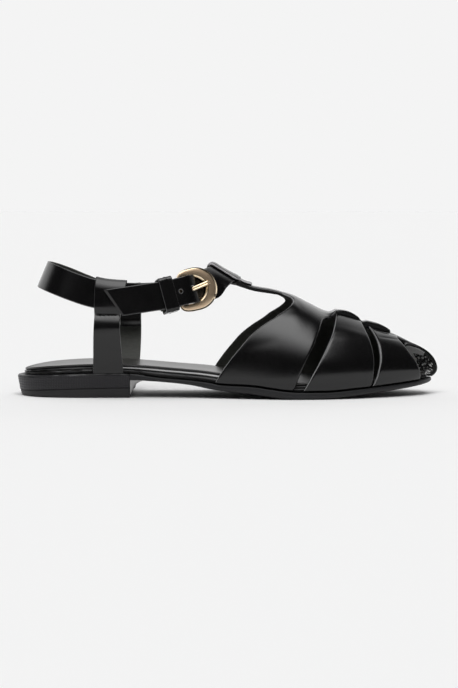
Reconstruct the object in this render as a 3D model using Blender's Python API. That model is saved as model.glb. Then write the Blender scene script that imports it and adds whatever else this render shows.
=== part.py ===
"""Right-foot flat ankle strap sandal: a lasted upper of crossing straps with a T-bar, on a layered
sole with a low heel, and an ankle strap that runs through two posts and closes with a buckle.

Sizes are millimetres: x runs from the back of the heel to the toe, y from the outer (lateral,
negative) side to the inner (medial) side, and z up from the floor. A station is an x along the
sole's edge, spread out around the round heel and toe. The girth of the last runs from -1 at the
lateral sole edge, over the ridge at 0, to 1 at the medial sole edge, and a rise is 1 - |girth|.
"""

import math

import bmesh
import bpy
import numpy as np
from mathutils import Vector

MM = 0.001
LATERAL, MEDIAL = -1, 1
GAP = 0.3

# Sole
HEEL_CENTRE_X = 30.0
HEEL_BREAST_X = 69.0
HEEL_ROUND = 20.0
TOE_ROUND = 20.0
TOE_TIP = (251.5, 5.0)
LEVEL_STEP = 6.0
COVE_END_X = 78.0
COVE_LENGTH = 7.8
COVE_DROP = 5.4
SOCK_THICKNESS = 1.2
MIDSOLE_INSET = 2.9
MIDSOLE_HEEL_INSET = 4.2
MIDSOLE_INSET_RUN = 60.0
WAIST_INSET = 0.8
WAIST_END_X = 130.0
WAIST_RUN = 30.0

# Upper
WALL = 2.0
T_BAR_EXTRA = 0.6
BASE_INSET = 2.5
FAN_FROM = 190.0
FAN_RIDGE_X = 235.0
GIRTH_MM = 70.0
PATTERN_STEP = 5.0
PATTERN_SNAP = 0.8
LEVEL_RISE = 0.12
T_BAR_RISE = 0.917
T_BAR_END = 136.0
T_BAR_FROM = 160.0
T_BAR_TAPER = 10.0
TOE_CORNER = (256.0, -0.01)
STRIP_END = 235.5
STRIP_END_GIRTH = 0.08

# Straps and buckle
STRAP_WIDTH = 16.8
STRAP_THICKNESS = 1.6
STRAP_STEP = 4.0
TAIL_SKEW = 4.2
FOLD_STEP = 0.8
FOLD_SECTIONS = 45
FRAME_STEP = 0.25
LOOP_WALL = 1.4
LOOP_CLEARANCE = 0.45
POST_WIDTH = 15.0
POST_BASE_WIDTH = 16.6
POST_THICKNESS = 1.7
POST_BASE_INSET = 0.5
POST_BOW = 1.2
T_LOOP_WIDTH = 13.0
T_LOOP_DEPTH = 0.6
KEEPER_HOLE_OUT = (-3.3, 5.5)
KEEPER_HOLE_UP = 9.25
KEEPER_WALL = 1.3
KEEPER_ALONG = (-14.6, -18.6, -22.8)
BUCKLE_CENTRE = (108.9, -25.5, 65.3)
BUCKLE_TURN = math.radians(17.0)
BUCKLE_RISE = math.radians(12.5)
BUCKLE_LEAN = math.radians(12.0)
BUCKLE_THICKNESS = 2.4
BAR_SETBACK = 10.4
BAR_WIDTH = 2.2
FOLD_RADIUS = 2.5
PRONG_HALF_WIDTH = 1.35
PRONG_EYE_CLEARANCE = 0.45
PRONG_EYE_WALL = 1.0
BAR_SLOT = ((-BAR_SETBACK - 3.6, -BAR_SETBACK + 4.2), (-4.0, 3.25), (-2.1, 2.1))
PRONG_HOLE = ((-8.6, 1.6), (0.6, 4.4), (-2.0, 2.0))
LATERAL_POST = ((56.5, -31.2, 61.0), 56.8)
MEDIAL_POST = ((66, 31.3, 56.2), 63.8)
T_LOOP_CENTRE = (125, 0, 73.9)
SHARP_ANGLE = math.radians(35)


def table(columns, *rows):
    """A table with named columns."""
    return dict(zip(columns.split(), np.array(rows, float).T))


OUTLINE = table(
    "x lateral medial",
    (6, 16.0, 16.0),
    (20, 26.0, 26.0),
    (45, 28.5, 28.3),
    (80, 28.0, 25.2),
    (110, 31.0, 24.8),
    (140, 37.0, 31.0),
    (165, 40.3, 38.8),
    (185, 38.6, 41.8),
    (205, 32.6, 38.5),
    (225, 23.0, 30.6),
    (238, 14.8, 22.9),
    (246, 7.6, 16.6),
)
# Tread: underside of the outsole. Seat: its top, which the midsole and the straps stand on.
TREAD = table(
    "x z",
    (77, 10.2),
    (90, 9.3),
    (100, 8.4),
    (108, 7.3),
    (117, 5.5),
    (126, 4.3),
    (135, 3.5),
    (144, 2.6),
    (152, 1.4),
    (160, 0.4),
    (167, 0.0),
    (184, 0.0),
    (200, 1.2),
    (220, 3.3),
    (241, 5.7),
    (251.5, 7.3),
)
SEAT = table(
    "x z",
    (0, 12.4),
    (10, 13.0),
    (28, 14.0),
    (50, 14.5),
    (69, 14.4),
    (74, 14.0),
    (82, 12.7),
    (90, 11.8),
    (100, 11.1),
    (110, 10.2),
    (117, 9.3),
    (122, 8.3),
    (128, 7.9),
    (136, 7.7),
    (144, 7.2),
    (152, 6.1),
    (161, 4.9),
    (172, 4.2),
    (185, 4.2),
    (205, 5.6),
    (225, 7.3),
    (241, 9.0),
    (251.5, 10.4),
)
SOCK_TOP = table(
    "x z",
    (5, 16.5),
    (10, 17.5),
    (25, 19.2),
    (48, 20.2),
    (65, 20.0),
    (80, 19.2),
    (90, 18.4),
    (100, 17.6),
    (113, 16.5),
    (130, 14.2),
    (150, 11.3),
    (170, 9.8),
    (190, 9.7),
    (210, 10.3),
    (230, 11.7),
    (250, 13.4),
)
LIFT_JOINT = table("x z", (0, 3.0), (12, 4.2), (28, 5.1), (50, 5.7), (69, 6.0))
# Ridge: the last's top line. Side: how far its wall swells out over the sole, at which rise, and
# the power of the arch from there to the ridge.
RIDGE = table(
    "x y z",
    (110, 1.0, 71.5),
    (129, 1.5, 68.0),
    (136, 1.8, 65.6),
    (143, 2.0, 63.4),
    (158, 2.5, 60.9),
    (165, 2.8, 59.0),
    (176, 3.2, 53.7),
    (187, 3.6, 48.3),
    (200, 4.0, 44.2),
    (212, 4.3, 39.6),
    (225, 4.8, 34.8),
    (235, 5.0, 28.9),
)
SIDE = table(
    "station swell height power",
    (110, 1.0, 12.0, 2.1),
    (150, 1.6, 12.0, 2.05),
    (190, 1.8, 12.0, 2.0),
    (225, 2.0, 10.0, 1.9),
    (250, 3.2, 7.5, 1.65),
    (271.5, 4.5, 5.6, 1.5),
)
# Cut edges of the upper's straps, from the sole up.
VAMP_BACK = table(
    "rise station",
    (0, 119.5),
    (0.117, 124.5),
    (0.2, 129.0),
    (0.3, 135.0),
    (0.4, 141.0),
    (0.483, 147.3),
    (0.567, 153.8),
    (0.683, 160.8),
    (0.767, 164.3),
    (0.835, 166.0),
    (0.875, 165.4),
    (0.905, 162.0),
    (T_BAR_RISE, 156.0),
)
VAMP_FRONT = table(
    "rise station",
    (0, 165.3),
    (0.117, 169.3),
    (0.217, 173.0),
    (0.35, 176.2),
    (0.5, 179.2),
    (0.65, 183.2),
    (0.72, 185.0),
    (0.78, 187.3),
    (0.84, 190.0),
    (0.875, 193.5),
    (0.89, 198.0),
)
STRIP_EDGE = table("rise station", (0.89, 204.0), (0.88, 215.0), (0.865, 226.0), (0.855, 233.0))
STRAP_2_BACK = table(
    "rise station",
    (0, 169.5),
    (0.1, 174.5),
    (0.183, 178.5),
    (0.3, 183.5),
    (0.433, 187.0),
    (0.533, 189.0),
    (0.667, 191.0),
    (0.85, 192.0),
    (1, 192.5),
)
STRAP_2_FRONT = table(
    "rise station",
    (0, 213.0),
    (0.15, 213.9),
    (0.283, 214.3),
    (0.417, 214.0),
    (0.55, 213.0),
    (0.7, 211.6),
    (0.85, 209.6),
    (1, 208.8),
)
STRAP_3_BACK = table(
    "rise station",
    (0, 213.8),
    (0.183, 216.8),
    (0.283, 218.0),
    (0.433, 218.4),
    (0.6, 218.0),
    (0.783, 216.5),
    (1, 214.5),
)
STRAP_3_FRONT = table(
    "rise station",
    (0, 247.0),
    (0.183, 244.0),
    (0.317, 241.5),
    (0.417, 239.3),
    (0.533, 238.0),
    (0.667, 237.0),
    (0.78, 237.5),
    (0.88, 240.5),
    (0.96, 248.0),
)
# Inner and outer face of the centre strip, which bulges where it crosses the two straps.
STRIP_FACES = table(
    "station inner outer",
    (184, 0, 2.0),
    (188.5, 0.5, 2.6),
    (191.5, 1.75, 4.7),
    (199, 1.75, 6.0),
    (206, 1.75, 4.9),
    (209.5, 1.0, 3.2),
    (213, 1.75, 4.5),
    (222, 1.75, 4.9),
    (231, 1.75, 4.4),
    (235.5, 1.5, 3.4),
)
# How far back the cut edges of the medial side lie behind those of the lateral side.
MEDIAL_SHIFT = table("rise station", (0, -3.2), (0.35, -5.2), (0.6, -5.2), (0.75, -3.6), (0.9, -1.2), (1, 0))
# The same for the throat's edge, which turns into the T-bar in a wider bend on the medial side.
THROAT_SHIFT = table(
    "rise station",
    (0, -3.2),
    (0.35, -5.2),
    (0.767, -5.0),
    (0.835, -4.8),
    (0.875, -5.2),
    (0.905, -4.4),
    (T_BAR_RISE, 0),
)
# Ankle strap from the lateral side round the back to the front, with the tilt of its face.
ANKLE_RING = table(
    "x y z lean",
    (80, -32.0, 60.5, 5),
    (66, -31.7, 60.6, 4),
    (56.5, -31.2, 61.0, 4),
    (47, -29.6, 62.7, 7),
    (38, -27.0, 65.4, 12),
    (28, -22.2, 68.9, 17),
    (20, -13.5, 71.7, 21),
    (16, 0, 73.0, 23),
    (20, 13.5, 71.6, 21),
    (28, 22.2, 68.3, 17),
    (38, 27.0, 63.9, 12),
    (47, 29.6, 60.2, 7),
    (57, 31.0, 57.4, 4),
    (66, 31.3, 56.2, 4),
    (80, 31.0, 57.5, 6),
    (95, 28.8, 60.5, 12),
    (108, 24.0, 65.0, 25),
    (117, 17.0, 69.2, 42),
    (123, 8.5, 72.9, 56),
    (125, 0, 73.9, 62.5),
    (123.3, -8.5, 72.9, 56),
    (120, -15.5, 70.3, 42),
)
# The strap at the buckle, in the buckle's own axes: along it, and out from its middle plane.
BUCKLE_PASS = table(
    "along out",
    (10.5, -2.9),
    (4.5, -2.8),
    (0.5, -2.0),
    (-3.5, 1.4),
    (-7.5, 3.8),
    (-10.4, 4.25),
    (-16.0, 4.2),
)
# The strap's folded end and its two layers beside the bar, in the same axes from the bar.
FOLD_END = ((-14.0, -1.0), (-8.0, -1.1), (-3.6, -2.0))
FOLD_RETURN = ((-3.6, 2.0), (-8.0, 1.2))
FOLD_ANGLES = np.radians([-80, -40, 0, 40, 80])
ANKLE_TAIL = table("x y z lean", (76, -35.4, 59.5, 7), (67, -36.0, 58.2, 6), (59.8, -36.2, 57.1, 6))


def smooth(rows, key, column):
    """A smooth function through one column of a table that never overshoots its rows."""
    xs, ys = rows[key], rows[column]
    dx = np.diff(xs)
    slope = np.diff(ys) / dx
    tangent = np.concatenate([slope[:1], np.zeros(len(xs) - 2), slope[-1:]])
    for i in range(1, len(xs) - 1):
        before, after = slope[i - 1], slope[i]
        if before * after > 0:
            weight_before = 2 * dx[i] + dx[i - 1]
            weight_after = dx[i] + 2 * dx[i - 1]
            total = weight_before + weight_after
            tangent[i] = total / (weight_before / before + weight_after / after)

    def value(x):
        x = np.clip(np.asarray(x, float), xs[0], xs[-1])
        i = np.clip(np.searchsorted(xs, x, side="right") - 1, 0, len(xs) - 2)
        t = (x - xs[i]) / dx[i]
        ends = (1 + 2 * t) * (1 - t) ** 2 * ys[i] + t * t * (3 - 2 * t) * ys[i + 1]
        return ends + dx[i] * t * (1 - t) * ((1 - t) * tangent[i] - t * tangent[i + 1])

    return value


def closed_curve(points, per_span):
    """A closed curve with even curvature through plan points."""
    points = np.asarray(points, float)
    count = len(points)
    following = np.roll(points, -1, axis=0)
    span = np.linalg.norm(following - points, axis=1)
    system = np.zeros((count, count))
    wanted = np.zeros((count, 2))
    for i in range(count):
        before, after = span[i - 1], span[i]
        system[i, i - 1] += 1 / before
        system[i, i] += 2 / before + 2 / after
        system[i, (i + 1) % count] += 1 / after
        rise_before = (points[i] - points[i - 1]) / before**2
        rise_after = (following[i] - points[i]) / after**2
        wanted[i] = 3 * (rise_before + rise_after)
    tangent = np.linalg.solve(system, wanted)
    t = np.linspace(0, 1, per_span, endpoint=False)[:, None]
    spans = []
    for i in range(count):
        j = (i + 1) % count
        ends = (1 + 2 * t) * (1 - t) ** 2 * points[i] + t * t * (3 - 2 * t) * points[j]
        bend = span[i] * t * (1 - t) * ((1 - t) * tangent[i] - t * tangent[j])
        spans.append(ends + bend)
    return np.concatenate(spans)


def open_curve(points, step):
    """Points about a step apart on a smooth curve through the given points."""
    points = np.asarray(points, float)
    spans = np.linalg.norm(np.diff(points[:, :3], axis=0), axis=1)
    knots = np.concatenate([[0], np.cumsum(spans)])
    tangent = np.gradient(points, knots, axis=0, edge_order=2 if len(points) > 2 else 1)
    count = max(2, int(round(knots[-1] / step)) + 1)
    at = np.linspace(0, knots[-1], count)
    i = np.clip(np.searchsorted(knots, at, side="right") - 1, 0, len(points) - 2)
    span = (knots[i + 1] - knots[i])[:, None]
    t = (at - knots[i])[:, None] / span
    ends = (1 + 2 * t) * (1 - t) ** 2 * points[i] + t * t * (3 - 2 * t) * points[i + 1]
    return ends + span * t * (1 - t) * ((1 - t) * tangent[i] - t * tangent[i + 1])


def sole_sides():
    """Each side of the sole's edge from heel to toe: columns x, y and the outward normal."""
    lateral = np.stack([OUTLINE["x"], -OUTLINE["lateral"]], 1)
    medial = np.stack([OUTLINE["x"], OUTLINE["medial"]], 1)
    loop = closed_curve(np.concatenate([[(0, 0)], lateral, [TOE_TIP], medial[::-1]]), 60)
    loop = np.roll(loop, -int(np.argmin(loop[:, 0])), axis=0)
    tip = int(np.argmax(loop[:, 0]))
    along = np.roll(loop, -1, axis=0) - np.roll(loop, 1, axis=0)
    normal = np.stack([along[:, 1], -along[:, 0]], 1)
    normal /= np.linalg.norm(normal, axis=1)[:, None]
    both = np.concatenate([loop, normal], 1)
    back = np.concatenate([both[tip:], both[:1]])[::-1]
    return {LATERAL: both[: tip + 1], MEDIAL: back}


SOLE_SIDES = sole_sides()
SOLE_LENGTH = SOLE_SIDES[LATERAL][-1, 0]
HEEL_STATION = -HEEL_ROUND
TIP_STATION = SOLE_LENGTH + TOE_ROUND
seat = smooth(SEAT, "x", "z")
sock_top = smooth(SOCK_TOP, "x", "z")
lift_joint = smooth(LIFT_JOINT, "x", "z")
flat_tread = smooth(TREAD, "x", "z")


def station_x(station):
    """The x of a station."""
    station = np.asarray(station, float)
    heel_share = np.clip((station + HEEL_ROUND) / (2 * HEEL_ROUND), 0, 1)
    toe_start = SOLE_LENGTH - TOE_ROUND
    toe_share = np.clip((station - toe_start) / (2 * TOE_ROUND), 0, 1)
    toe = SOLE_LENGTH - TOE_ROUND * (1 - toe_share) ** 2
    x = np.where(station < HEEL_ROUND, HEEL_ROUND * heel_share**2, station)
    return np.where(station > toe_start, toe, x)


def rim(side, station, inset=0.0):
    """The plan point of the sole's edge on one side, moved inwards, and its outward normal."""
    x = station_x(station)
    edge = SOLE_SIDES[side]
    y, normal_x, normal_y = (np.interp(x, edge[:, 0], edge[:, i]) for i in (1, 2, 3))
    point = np.stack([x - inset * normal_x, y - inset * normal_y], -1)
    return point, np.stack([normal_x, normal_y], -1)


def tread(x):
    """The outsole's underside, with the cove that turns down the heel's breast."""
    back = np.clip((COVE_END_X - np.asarray(x, float)) / COVE_LENGTH, 0, 1)
    return flat_tread(x) - COVE_DROP * (1 - np.sqrt(1 - back**2))


def midsole_top(x):
    return sock_top(x) - SOCK_THICKNESS - GAP


def midsole_inset(station):
    """The board stands further in at the back of the heel than along its sides."""
    share = np.clip((np.asarray(station, float) + HEEL_ROUND) / MIDSOLE_INSET_RUN, 0, 1)
    return MIDSOLE_HEEL_INSET + (MIDSOLE_INSET - MIDSOLE_HEEL_INSET) * share


# The last
swell = smooth(SIDE, "station", "swell")
swell_height = smooth(SIDE, "station", "height")
arch_power = smooth(SIDE, "station", "power")
ridge_y = smooth(RIDGE, "x", "y")
ridge_z = smooth(RIDGE, "x", "z")
strip_inner = smooth(STRIP_FACES, "station", "inner")
strip_outer = smooth(STRIP_FACES, "station", "outer")
medial_shift = smooth(MEDIAL_SHIFT, "rise", "station")
throat_shift = smooth(THROAT_SHIFT, "rise", "station")
RIB_COUNT = 61
LAST_STATIONS = np.linspace(112, TIP_STATION, 320)


def ridge_station_x(station):
    """The ribs fan out round the toe, so that the tip's rib meets the ridge well behind it."""
    past = np.clip(station - FAN_FROM, 0, None)
    return station - past**2 * (TIP_STATION - FAN_RIDGE_X) / (TIP_STATION - FAN_FROM) ** 2


def rib(side, station):
    """Points evenly along the last from the sole's edge up to the ridge."""
    foot, normal = rim(side, station, BASE_INSET)
    x = ridge_station_x(station)
    ridge = np.array([x, ridge_y(x), ridge_z(x)])
    base = np.array([foot[0], foot[1], seat(station_x(station)) + GAP])
    out = float(swell(station))
    height = float(swell_height(station))
    shoulder = base + np.array([out * normal[0], out * normal[1], height])
    share = np.linspace(0, 1, 20, endpoint=False)[:, None]
    wall_plan = base[:2] + np.sin(share * math.pi / 2) * out * normal
    wall = np.concatenate([wall_plan, base[2] + share * height], 1)
    angle = np.linspace(0, math.pi / 2, 80)[:, None]
    power = 2 / float(arch_power(station))
    arch_plan = ridge[:2] + (shoulder[:2] - ridge[:2]) * np.cos(angle) ** power
    arch_height = shoulder[2] + (ridge[2] - shoulder[2]) * np.sin(angle) ** power
    arch = np.concatenate([arch_plan, arch_height], 1)
    points = np.concatenate([wall, arch])
    length = np.concatenate([[0], np.cumsum(np.linalg.norm(np.diff(points, axis=0), axis=1))])
    even = np.linspace(0, length[-1], RIB_COUNT)
    return np.stack([np.interp(even, length, points[:, i]) for i in range(3)], 1)


def last_surface():
    """The last's points by station and girth, and its normals, level where the wall meets the sole."""
    rows = []
    for station in LAST_STATIONS:
        rows.append(np.concatenate([rib(LATERAL, station), rib(MEDIAL, station)[-2::-1]]))
    points = np.array(rows)
    normal = np.cross(np.gradient(points, axis=0), np.gradient(points, axis=1))
    rise = 1 - np.abs(np.linspace(-1, 1, points.shape[1]))
    normal[..., 2] *= np.clip(rise / LEVEL_RISE, 0, 1)
    normal[-1, RIB_COUNT - 1] = normal[-2, RIB_COUNT - 1]
    normal /= np.linalg.norm(normal, axis=2)[..., None]
    return points, normal * np.sign(normal[0, RIB_COUNT - 1, 2])


LAST_POINTS, LAST_NORMALS = last_surface()


def on_last(station, girth, offset):
    """Points on the last, moved out along its normal."""
    row = np.interp(station, LAST_STATIONS, np.arange(len(LAST_STATIONS)))
    column = (np.asarray(girth) + 1) * (RIB_COUNT - 1)
    i = np.clip(row.astype(int), 0, len(LAST_STATIONS) - 2)
    j = np.clip(column.astype(int), 0, 2 * RIB_COUNT - 3)
    u = (row - i)[:, None]
    v = (column - j)[:, None]

    def blend(grid):
        near = (1 - v) * grid[i, j] + v * grid[i, j + 1]
        return (1 - u) * near + u * ((1 - v) * grid[i + 1, j] + v * grid[i + 1, j + 1])

    return blend(LAST_POINTS) + np.asarray(offset)[:, None] * blend(LAST_NORMALS)


# Meshes
def make_material(name, colour, roughness, metallic):
    material = bpy.data.materials.new(name)
    material.use_nodes = True
    shader = material.node_tree.nodes["Principled BSDF"]
    shader.inputs["Base Color"].default_value = (*colour, 1.0)
    shader.inputs["Roughness"].default_value = roughness
    shader.inputs["Metallic"].default_value = metallic
    return material


def make_object(name, vertices, faces, material, parent):
    """A closed body with its faces pointing out, from millimetre points."""
    body = bmesh.new()
    corners = [body.verts.new(Vector(point) * MM) for point in vertices]
    for face in faces:
        body.faces.new([corners[i] for i in face])
    bmesh.ops.triangulate(body, faces=body.faces[:])
    if body.calc_volume(signed=True) < 0:
        bmesh.ops.reverse_faces(body, faces=body.faces[:])
    mesh = bpy.data.meshes.new(name)
    body.to_mesh(mesh)
    body.free()
    mesh.shade_smooth()
    mesh.set_sharp_from_angle(angle=SHARP_ANGLE)
    mesh.materials.append(material)
    item = bpy.data.objects.new(name, mesh)
    item.parent = parent
    bpy.context.scene.collection.objects.link(item)
    return item


def combine(item, helper, operation):
    """Joins or cuts an object with a hidden helper object."""
    helper.hide_render = True
    helper.display_type = "WIRE"
    boolean = item.modifiers.new(helper.name, "BOOLEAN")
    boolean.operation = operation
    boolean.solver = "EXACT"
    boolean.object = helper


def sole_layer(start, end, levels, extra_stations=()):
    """A layer of the sole between two stations, from level rings of (inset, height)."""
    count = int(round((end - start) / LEVEL_STEP))
    stations = np.unique(np.concatenate([np.linspace(start, end, count + 1), extra_stations]))
    vertices = []
    rings = []
    for inset, height in levels:
        ring = {}
        for side in (LATERAL, MEDIAL):
            plan, _ = rim(side, stations, inset(stations))
            ring[side] = []
            for k, (x, y) in enumerate(plan):
                pointed = stations[k] in (HEEL_STATION, TIP_STATION)
                if side == MEDIAL and pointed:
                    ring[side].append(ring[LATERAL][k])
                    continue
                ring[side].append(len(vertices))
                vertices.append((x, y, float(height(x))))
        rings.append(ring)
    faces = []
    loops = [list(dict.fromkeys(ring[LATERAL] + ring[MEDIAL][::-1])) for ring in rings]
    for lower, upper in zip(loops, loops[1:]):
        for k in range(len(lower)):
            after = (k + 1) % len(lower)
            faces.append((lower[k], lower[after], upper[after], upper[k]))
    for ring, turn in ((rings[0], -1), (rings[-1], 1)):
        for k in range(len(stations) - 1):
            near = (ring[LATERAL][k], ring[LATERAL][k + 1])
            far = (ring[MEDIAL][k + 1], ring[MEDIAL][k])
            faces.append(tuple(dict.fromkeys(near + far))[::turn])
    return vertices, faces


def swept(sections, cells, closed=False):
    """Flat cells that share corner numbers, swept through a row of sections."""
    count = len(sections[0])
    edges = {edge for cell in cells for edge in zip(cell, cell[1:] + cell[:1])}
    outside = sorted(edge for edge in edges if edge[::-1] not in edges)
    total = len(sections)
    faces = []
    for i in range(total if closed else total - 1):
        here, there = i * count, (i + 1) % total * count
        faces += [(here + a, here + b, there + b, there + a) for a, b in outside]
    if not closed:
        last = (total - 1) * count
        faces += [tuple(cell[::-1]) for cell in cells]
        faces += [tuple(last + corner for corner in cell) for cell in cells]
    return np.concatenate(sections), faces


def flat_pattern(outline):
    """A leather pattern laid flat by station and girth, cut into small faces."""
    flat = bmesh.new()
    corners = [flat.verts.new((station, girth * GIRTH_MM, 0)) for station, girth in outline]
    flat.faces.new(corners)
    stations = np.arange(115, TIP_STATION, PATTERN_STEP)
    girths = np.arange(-GIRTH_MM + PATTERN_STEP, GIRTH_MM, PATTERN_STEP)
    cuts = [((s, 0, 0), (1, 0, 0)) for s in stations] + [((0, g, 0), (0, 1, 0)) for g in girths]
    for place, direction in cuts:
        everything = flat.verts[:] + flat.edges[:] + flat.faces[:]
        bmesh.ops.bisect_plane(flat, geom=everything, dist=PATTERN_SNAP, plane_co=place, plane_no=direction)
    bmesh.ops.triangulate(flat, faces=flat.faces[:])
    return flat


def lasted(outline, inner, outer):
    """A pattern stretched over the last as a wall between two offsets, given by station."""
    flat = flat_pattern(outline)
    flat.verts.index_update()
    station = np.array([v.co.x for v in flat.verts])
    girth = np.clip(np.array([v.co.y for v in flat.verts]) / GIRTH_MM, -1, 1)
    count = len(station)
    vertices = np.concatenate(
        [on_last(station, girth, outer(station)), on_last(station, girth, inner(station))]
    )
    faces = []
    for face in flat.faces:
        corners = [v.index for v in face.verts]
        faces.append(tuple(corners))
        faces.append(tuple(count + i for i in reversed(corners)))
    for edge in flat.edges:
        if edge.is_boundary:
            loop = edge.link_loops[0]
            a, b = loop.vert.index, loop.link_loop_next.vert.index
            faces.append((b, a, count + a, count + b))
    flat.free()
    return vertices, faces


def cut_edge(rows, side, moved=medial_shift):
    """A cut edge of a strap on one side, from the sole up, as points by station and girth."""
    shift = moved(rows["rise"]) if side == MEDIAL else 0.0
    points = np.stack([rows["station"] + shift, side * (1 - rows["rise"]) * GIRTH_MM], 1)
    curve = open_curve(points, PATTERN_STEP)
    return [(s, g / GIRTH_MM) for s, g in curve]


def upper_patterns():
    """Outlines of the vamp with T-bar and centre strip, and of the two straps at the toe."""
    half_bar = 1 - T_BAR_RISE
    vamp = cut_edge(VAMP_FRONT, LATERAL) + cut_edge(STRIP_EDGE, LATERAL)
    vamp += [(STRIP_END, -STRIP_END_GIRTH), (STRIP_END, STRIP_END_GIRTH)]
    vamp += cut_edge(STRIP_EDGE, MEDIAL)[::-1] + cut_edge(VAMP_FRONT, MEDIAL)[::-1]
    vamp += cut_edge(VAMP_BACK, MEDIAL, throat_shift)
    vamp += [(T_BAR_END, half_bar), (T_BAR_END, -half_bar)]
    vamp += cut_edge(VAMP_BACK, LATERAL)[::-1]
    strap_2 = cut_edge(STRAP_2_FRONT, LATERAL)[:-1] + cut_edge(STRAP_2_FRONT, MEDIAL)[::-1]
    strap_2 += cut_edge(STRAP_2_BACK, MEDIAL)[:-1] + cut_edge(STRAP_2_BACK, LATERAL)[::-1]
    strap_3 = cut_edge(STRAP_3_FRONT, LATERAL)
    strap_3 += [TOE_CORNER, (TIP_STATION, 0.0), (TIP_STATION, 1.0)]
    strap_3 += cut_edge(STRAP_3_BACK, MEDIAL)[:-1] + cut_edge(STRAP_3_BACK, LATERAL)[::-1]
    return vamp, strap_2, strap_3


def buckle_axes():
    """The buckle's axes: along the strap to the toe, out from the ankle, and up."""
    level = math.cos(BUCKLE_RISE)
    along = np.array([level * math.cos(BUCKLE_TURN), level * math.sin(BUCKLE_TURN), math.sin(BUCKLE_RISE)])
    out = np.array([math.sin(BUCKLE_TURN), -math.cos(BUCKLE_TURN), math.tan(BUCKLE_LEAN)])
    out -= along * (out @ along)
    out /= np.linalg.norm(out)
    return along, out, np.cross(out, along)


ALONG, OUT, UP = buckle_axes()
BUCKLE = np.array(BUCKLE_CENTRE)
BAR = BUCKLE - BAR_SETBACK * ALONG


def at_buckle(along, out, up=0.0):
    return BUCKLE + along * ALONG + out * OUT + up * UP


def unit(vectors):
    return vectors / np.linalg.norm(vectors, axis=-1, keepdims=True)


def ring_rows(rows):
    """Points of the ring, each with the direction up the strap's face, from its lean."""
    points = np.stack([rows[key] for key in ("x", "y", "z")], 1)
    level = np.cross([0, 0, 1], np.gradient(points, axis=0))
    lean = np.radians(rows["lean"])[:, None]
    up = np.cos(lean) * np.array([0, 0, 1]) - np.sin(lean) * unit(level)
    return np.concatenate([points, up], 1)


def ankle_path():
    """Centre line of the ankle strap and its up direction: fold round the bar, ring, buckle, tail."""
    turn = [(FOLD_RADIUS * math.cos(a), FOLD_RADIUS * math.sin(a)) for a in FOLD_ANGLES]
    fold = [*FOLD_END, *turn, *FOLD_RETURN]
    at_bar = [np.concatenate([at_buckle(along - BAR_SETBACK, out), UP]) for along, out in fold]
    passing = zip(BUCKLE_PASS["along"], BUCKLE_PASS["out"])
    through = [np.concatenate([at_buckle(along, out), UP]) for along, out in passing]
    return np.concatenate([at_bar, ring_rows(ANKLE_RING), through, ring_rows(ANKLE_TAIL)])


def strap_frames(step):
    """Points along the ankle strap, each with its directions along, out and up the strap."""
    curve = open_curve(ankle_path(), step)
    points = curve[:, :3]
    tangent = unit(np.gradient(points, axis=0))
    up = curve[:, 3:] - tangent * np.sum(curve[:, 3:] * tangent, axis=1)[:, None]
    up = unit(up)
    return points, tangent, np.cross(up, tangent), up


def ankle_strap_mesh():
    """The strap, in short sections round the buckle's bar and in longer ones after it."""
    coarse = strap_frames(STRAP_STEP)
    fine = strap_frames(FOLD_STEP)
    coarse_from = np.argmin(np.linalg.norm(coarse[0] - fine[0][FOLD_SECTIONS], axis=1)) + 1
    merged = [np.concatenate([f[:FOLD_SECTIONS], c[coarse_from:]]) for f, c in zip(fine, coarse)]
    sections = []
    total = len(merged[0])
    for k, (point, along, outward, upward) in enumerate(zip(*merged)):
        skew = TAIL_SKEW if k == total - 1 else 0.0
        section = []
        for side, height in ((1, -1), (1, 1), (-1, 1), (-1, -1)):
            corner = point + outward * side * STRAP_THICKNESS / 2 + upward * height * STRAP_WIDTH / 2
            section.append(corner + along * skew * height)
        sections.append(np.array(section))
    return swept(sections, [(0, 1, 2, 3)])


# A loop round the strap: hole and wall by (out, up) as shares of its half sizes, from the foot of
# the outer layer over the fold to the foot of the inner layer.
LOOP_ROUND = table(
    "out up",
    (1, -1),
    (1, 0),
    (1, 0.86),
    (0.72, 0.97),
    (0, 1),
    (-0.72, 0.97),
    (-1, 0.86),
    (-1, 0),
    (-1, -1),
)


def strap_loop(frames, hole_depth=0.0):
    """Corner points of a loop round the strap at each frame, and its cells; hole first, wall after."""
    half_out = STRAP_THICKNESS / 2 + LOOP_CLEARANCE
    half_up = STRAP_WIDTH / 2 + LOOP_CLEARANCE
    count = len(LOOP_ROUND["out"])
    sections = []
    for point, _, out, up in frames:
        section = []
        for grow in (0.0, LOOP_WALL):
            for share_out, share_up in zip(LOOP_ROUND["out"], LOOP_ROUND["up"]):
                deeper = hole_depth if share_out < 0 else 0.0
                across = share_out * (half_out + grow + deeper)
                section.append(point + out * across + up * share_up * (half_up + grow))
        sections.append(section)
    cells = []
    for k in range(count):
        after = (k + 1) % count
        cells.append((k, after, count + after, count + k))
    return sections, cells


def frames_across(centre, width, count):
    """Frames of the ankle strap over a width of strap around the place nearest to a point."""
    points, tangent, out, up = strap_frames(FRAME_STEP)
    middle = int(np.argmin(np.linalg.norm(points - np.array(centre), axis=1)))
    length = np.concatenate([[0], np.cumsum(np.linalg.norm(np.diff(points, axis=0), axis=1))])
    wanted = length[middle] + np.linspace(-width / 2, width / 2, count)
    picked = [int(np.argmin(np.abs(length - want))) for want in wanted]
    return [(points[k], tangent[k], out[k], up[k]) for k in picked]


def plumb(frame):
    """A frame of the strap with its up direction tilted along the strap until it stands upright."""
    point, along, out, up = frame
    level = along * np.array([1, 1, 0])
    return point, along, out, up - along * (up @ level) / (along @ level)


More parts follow.
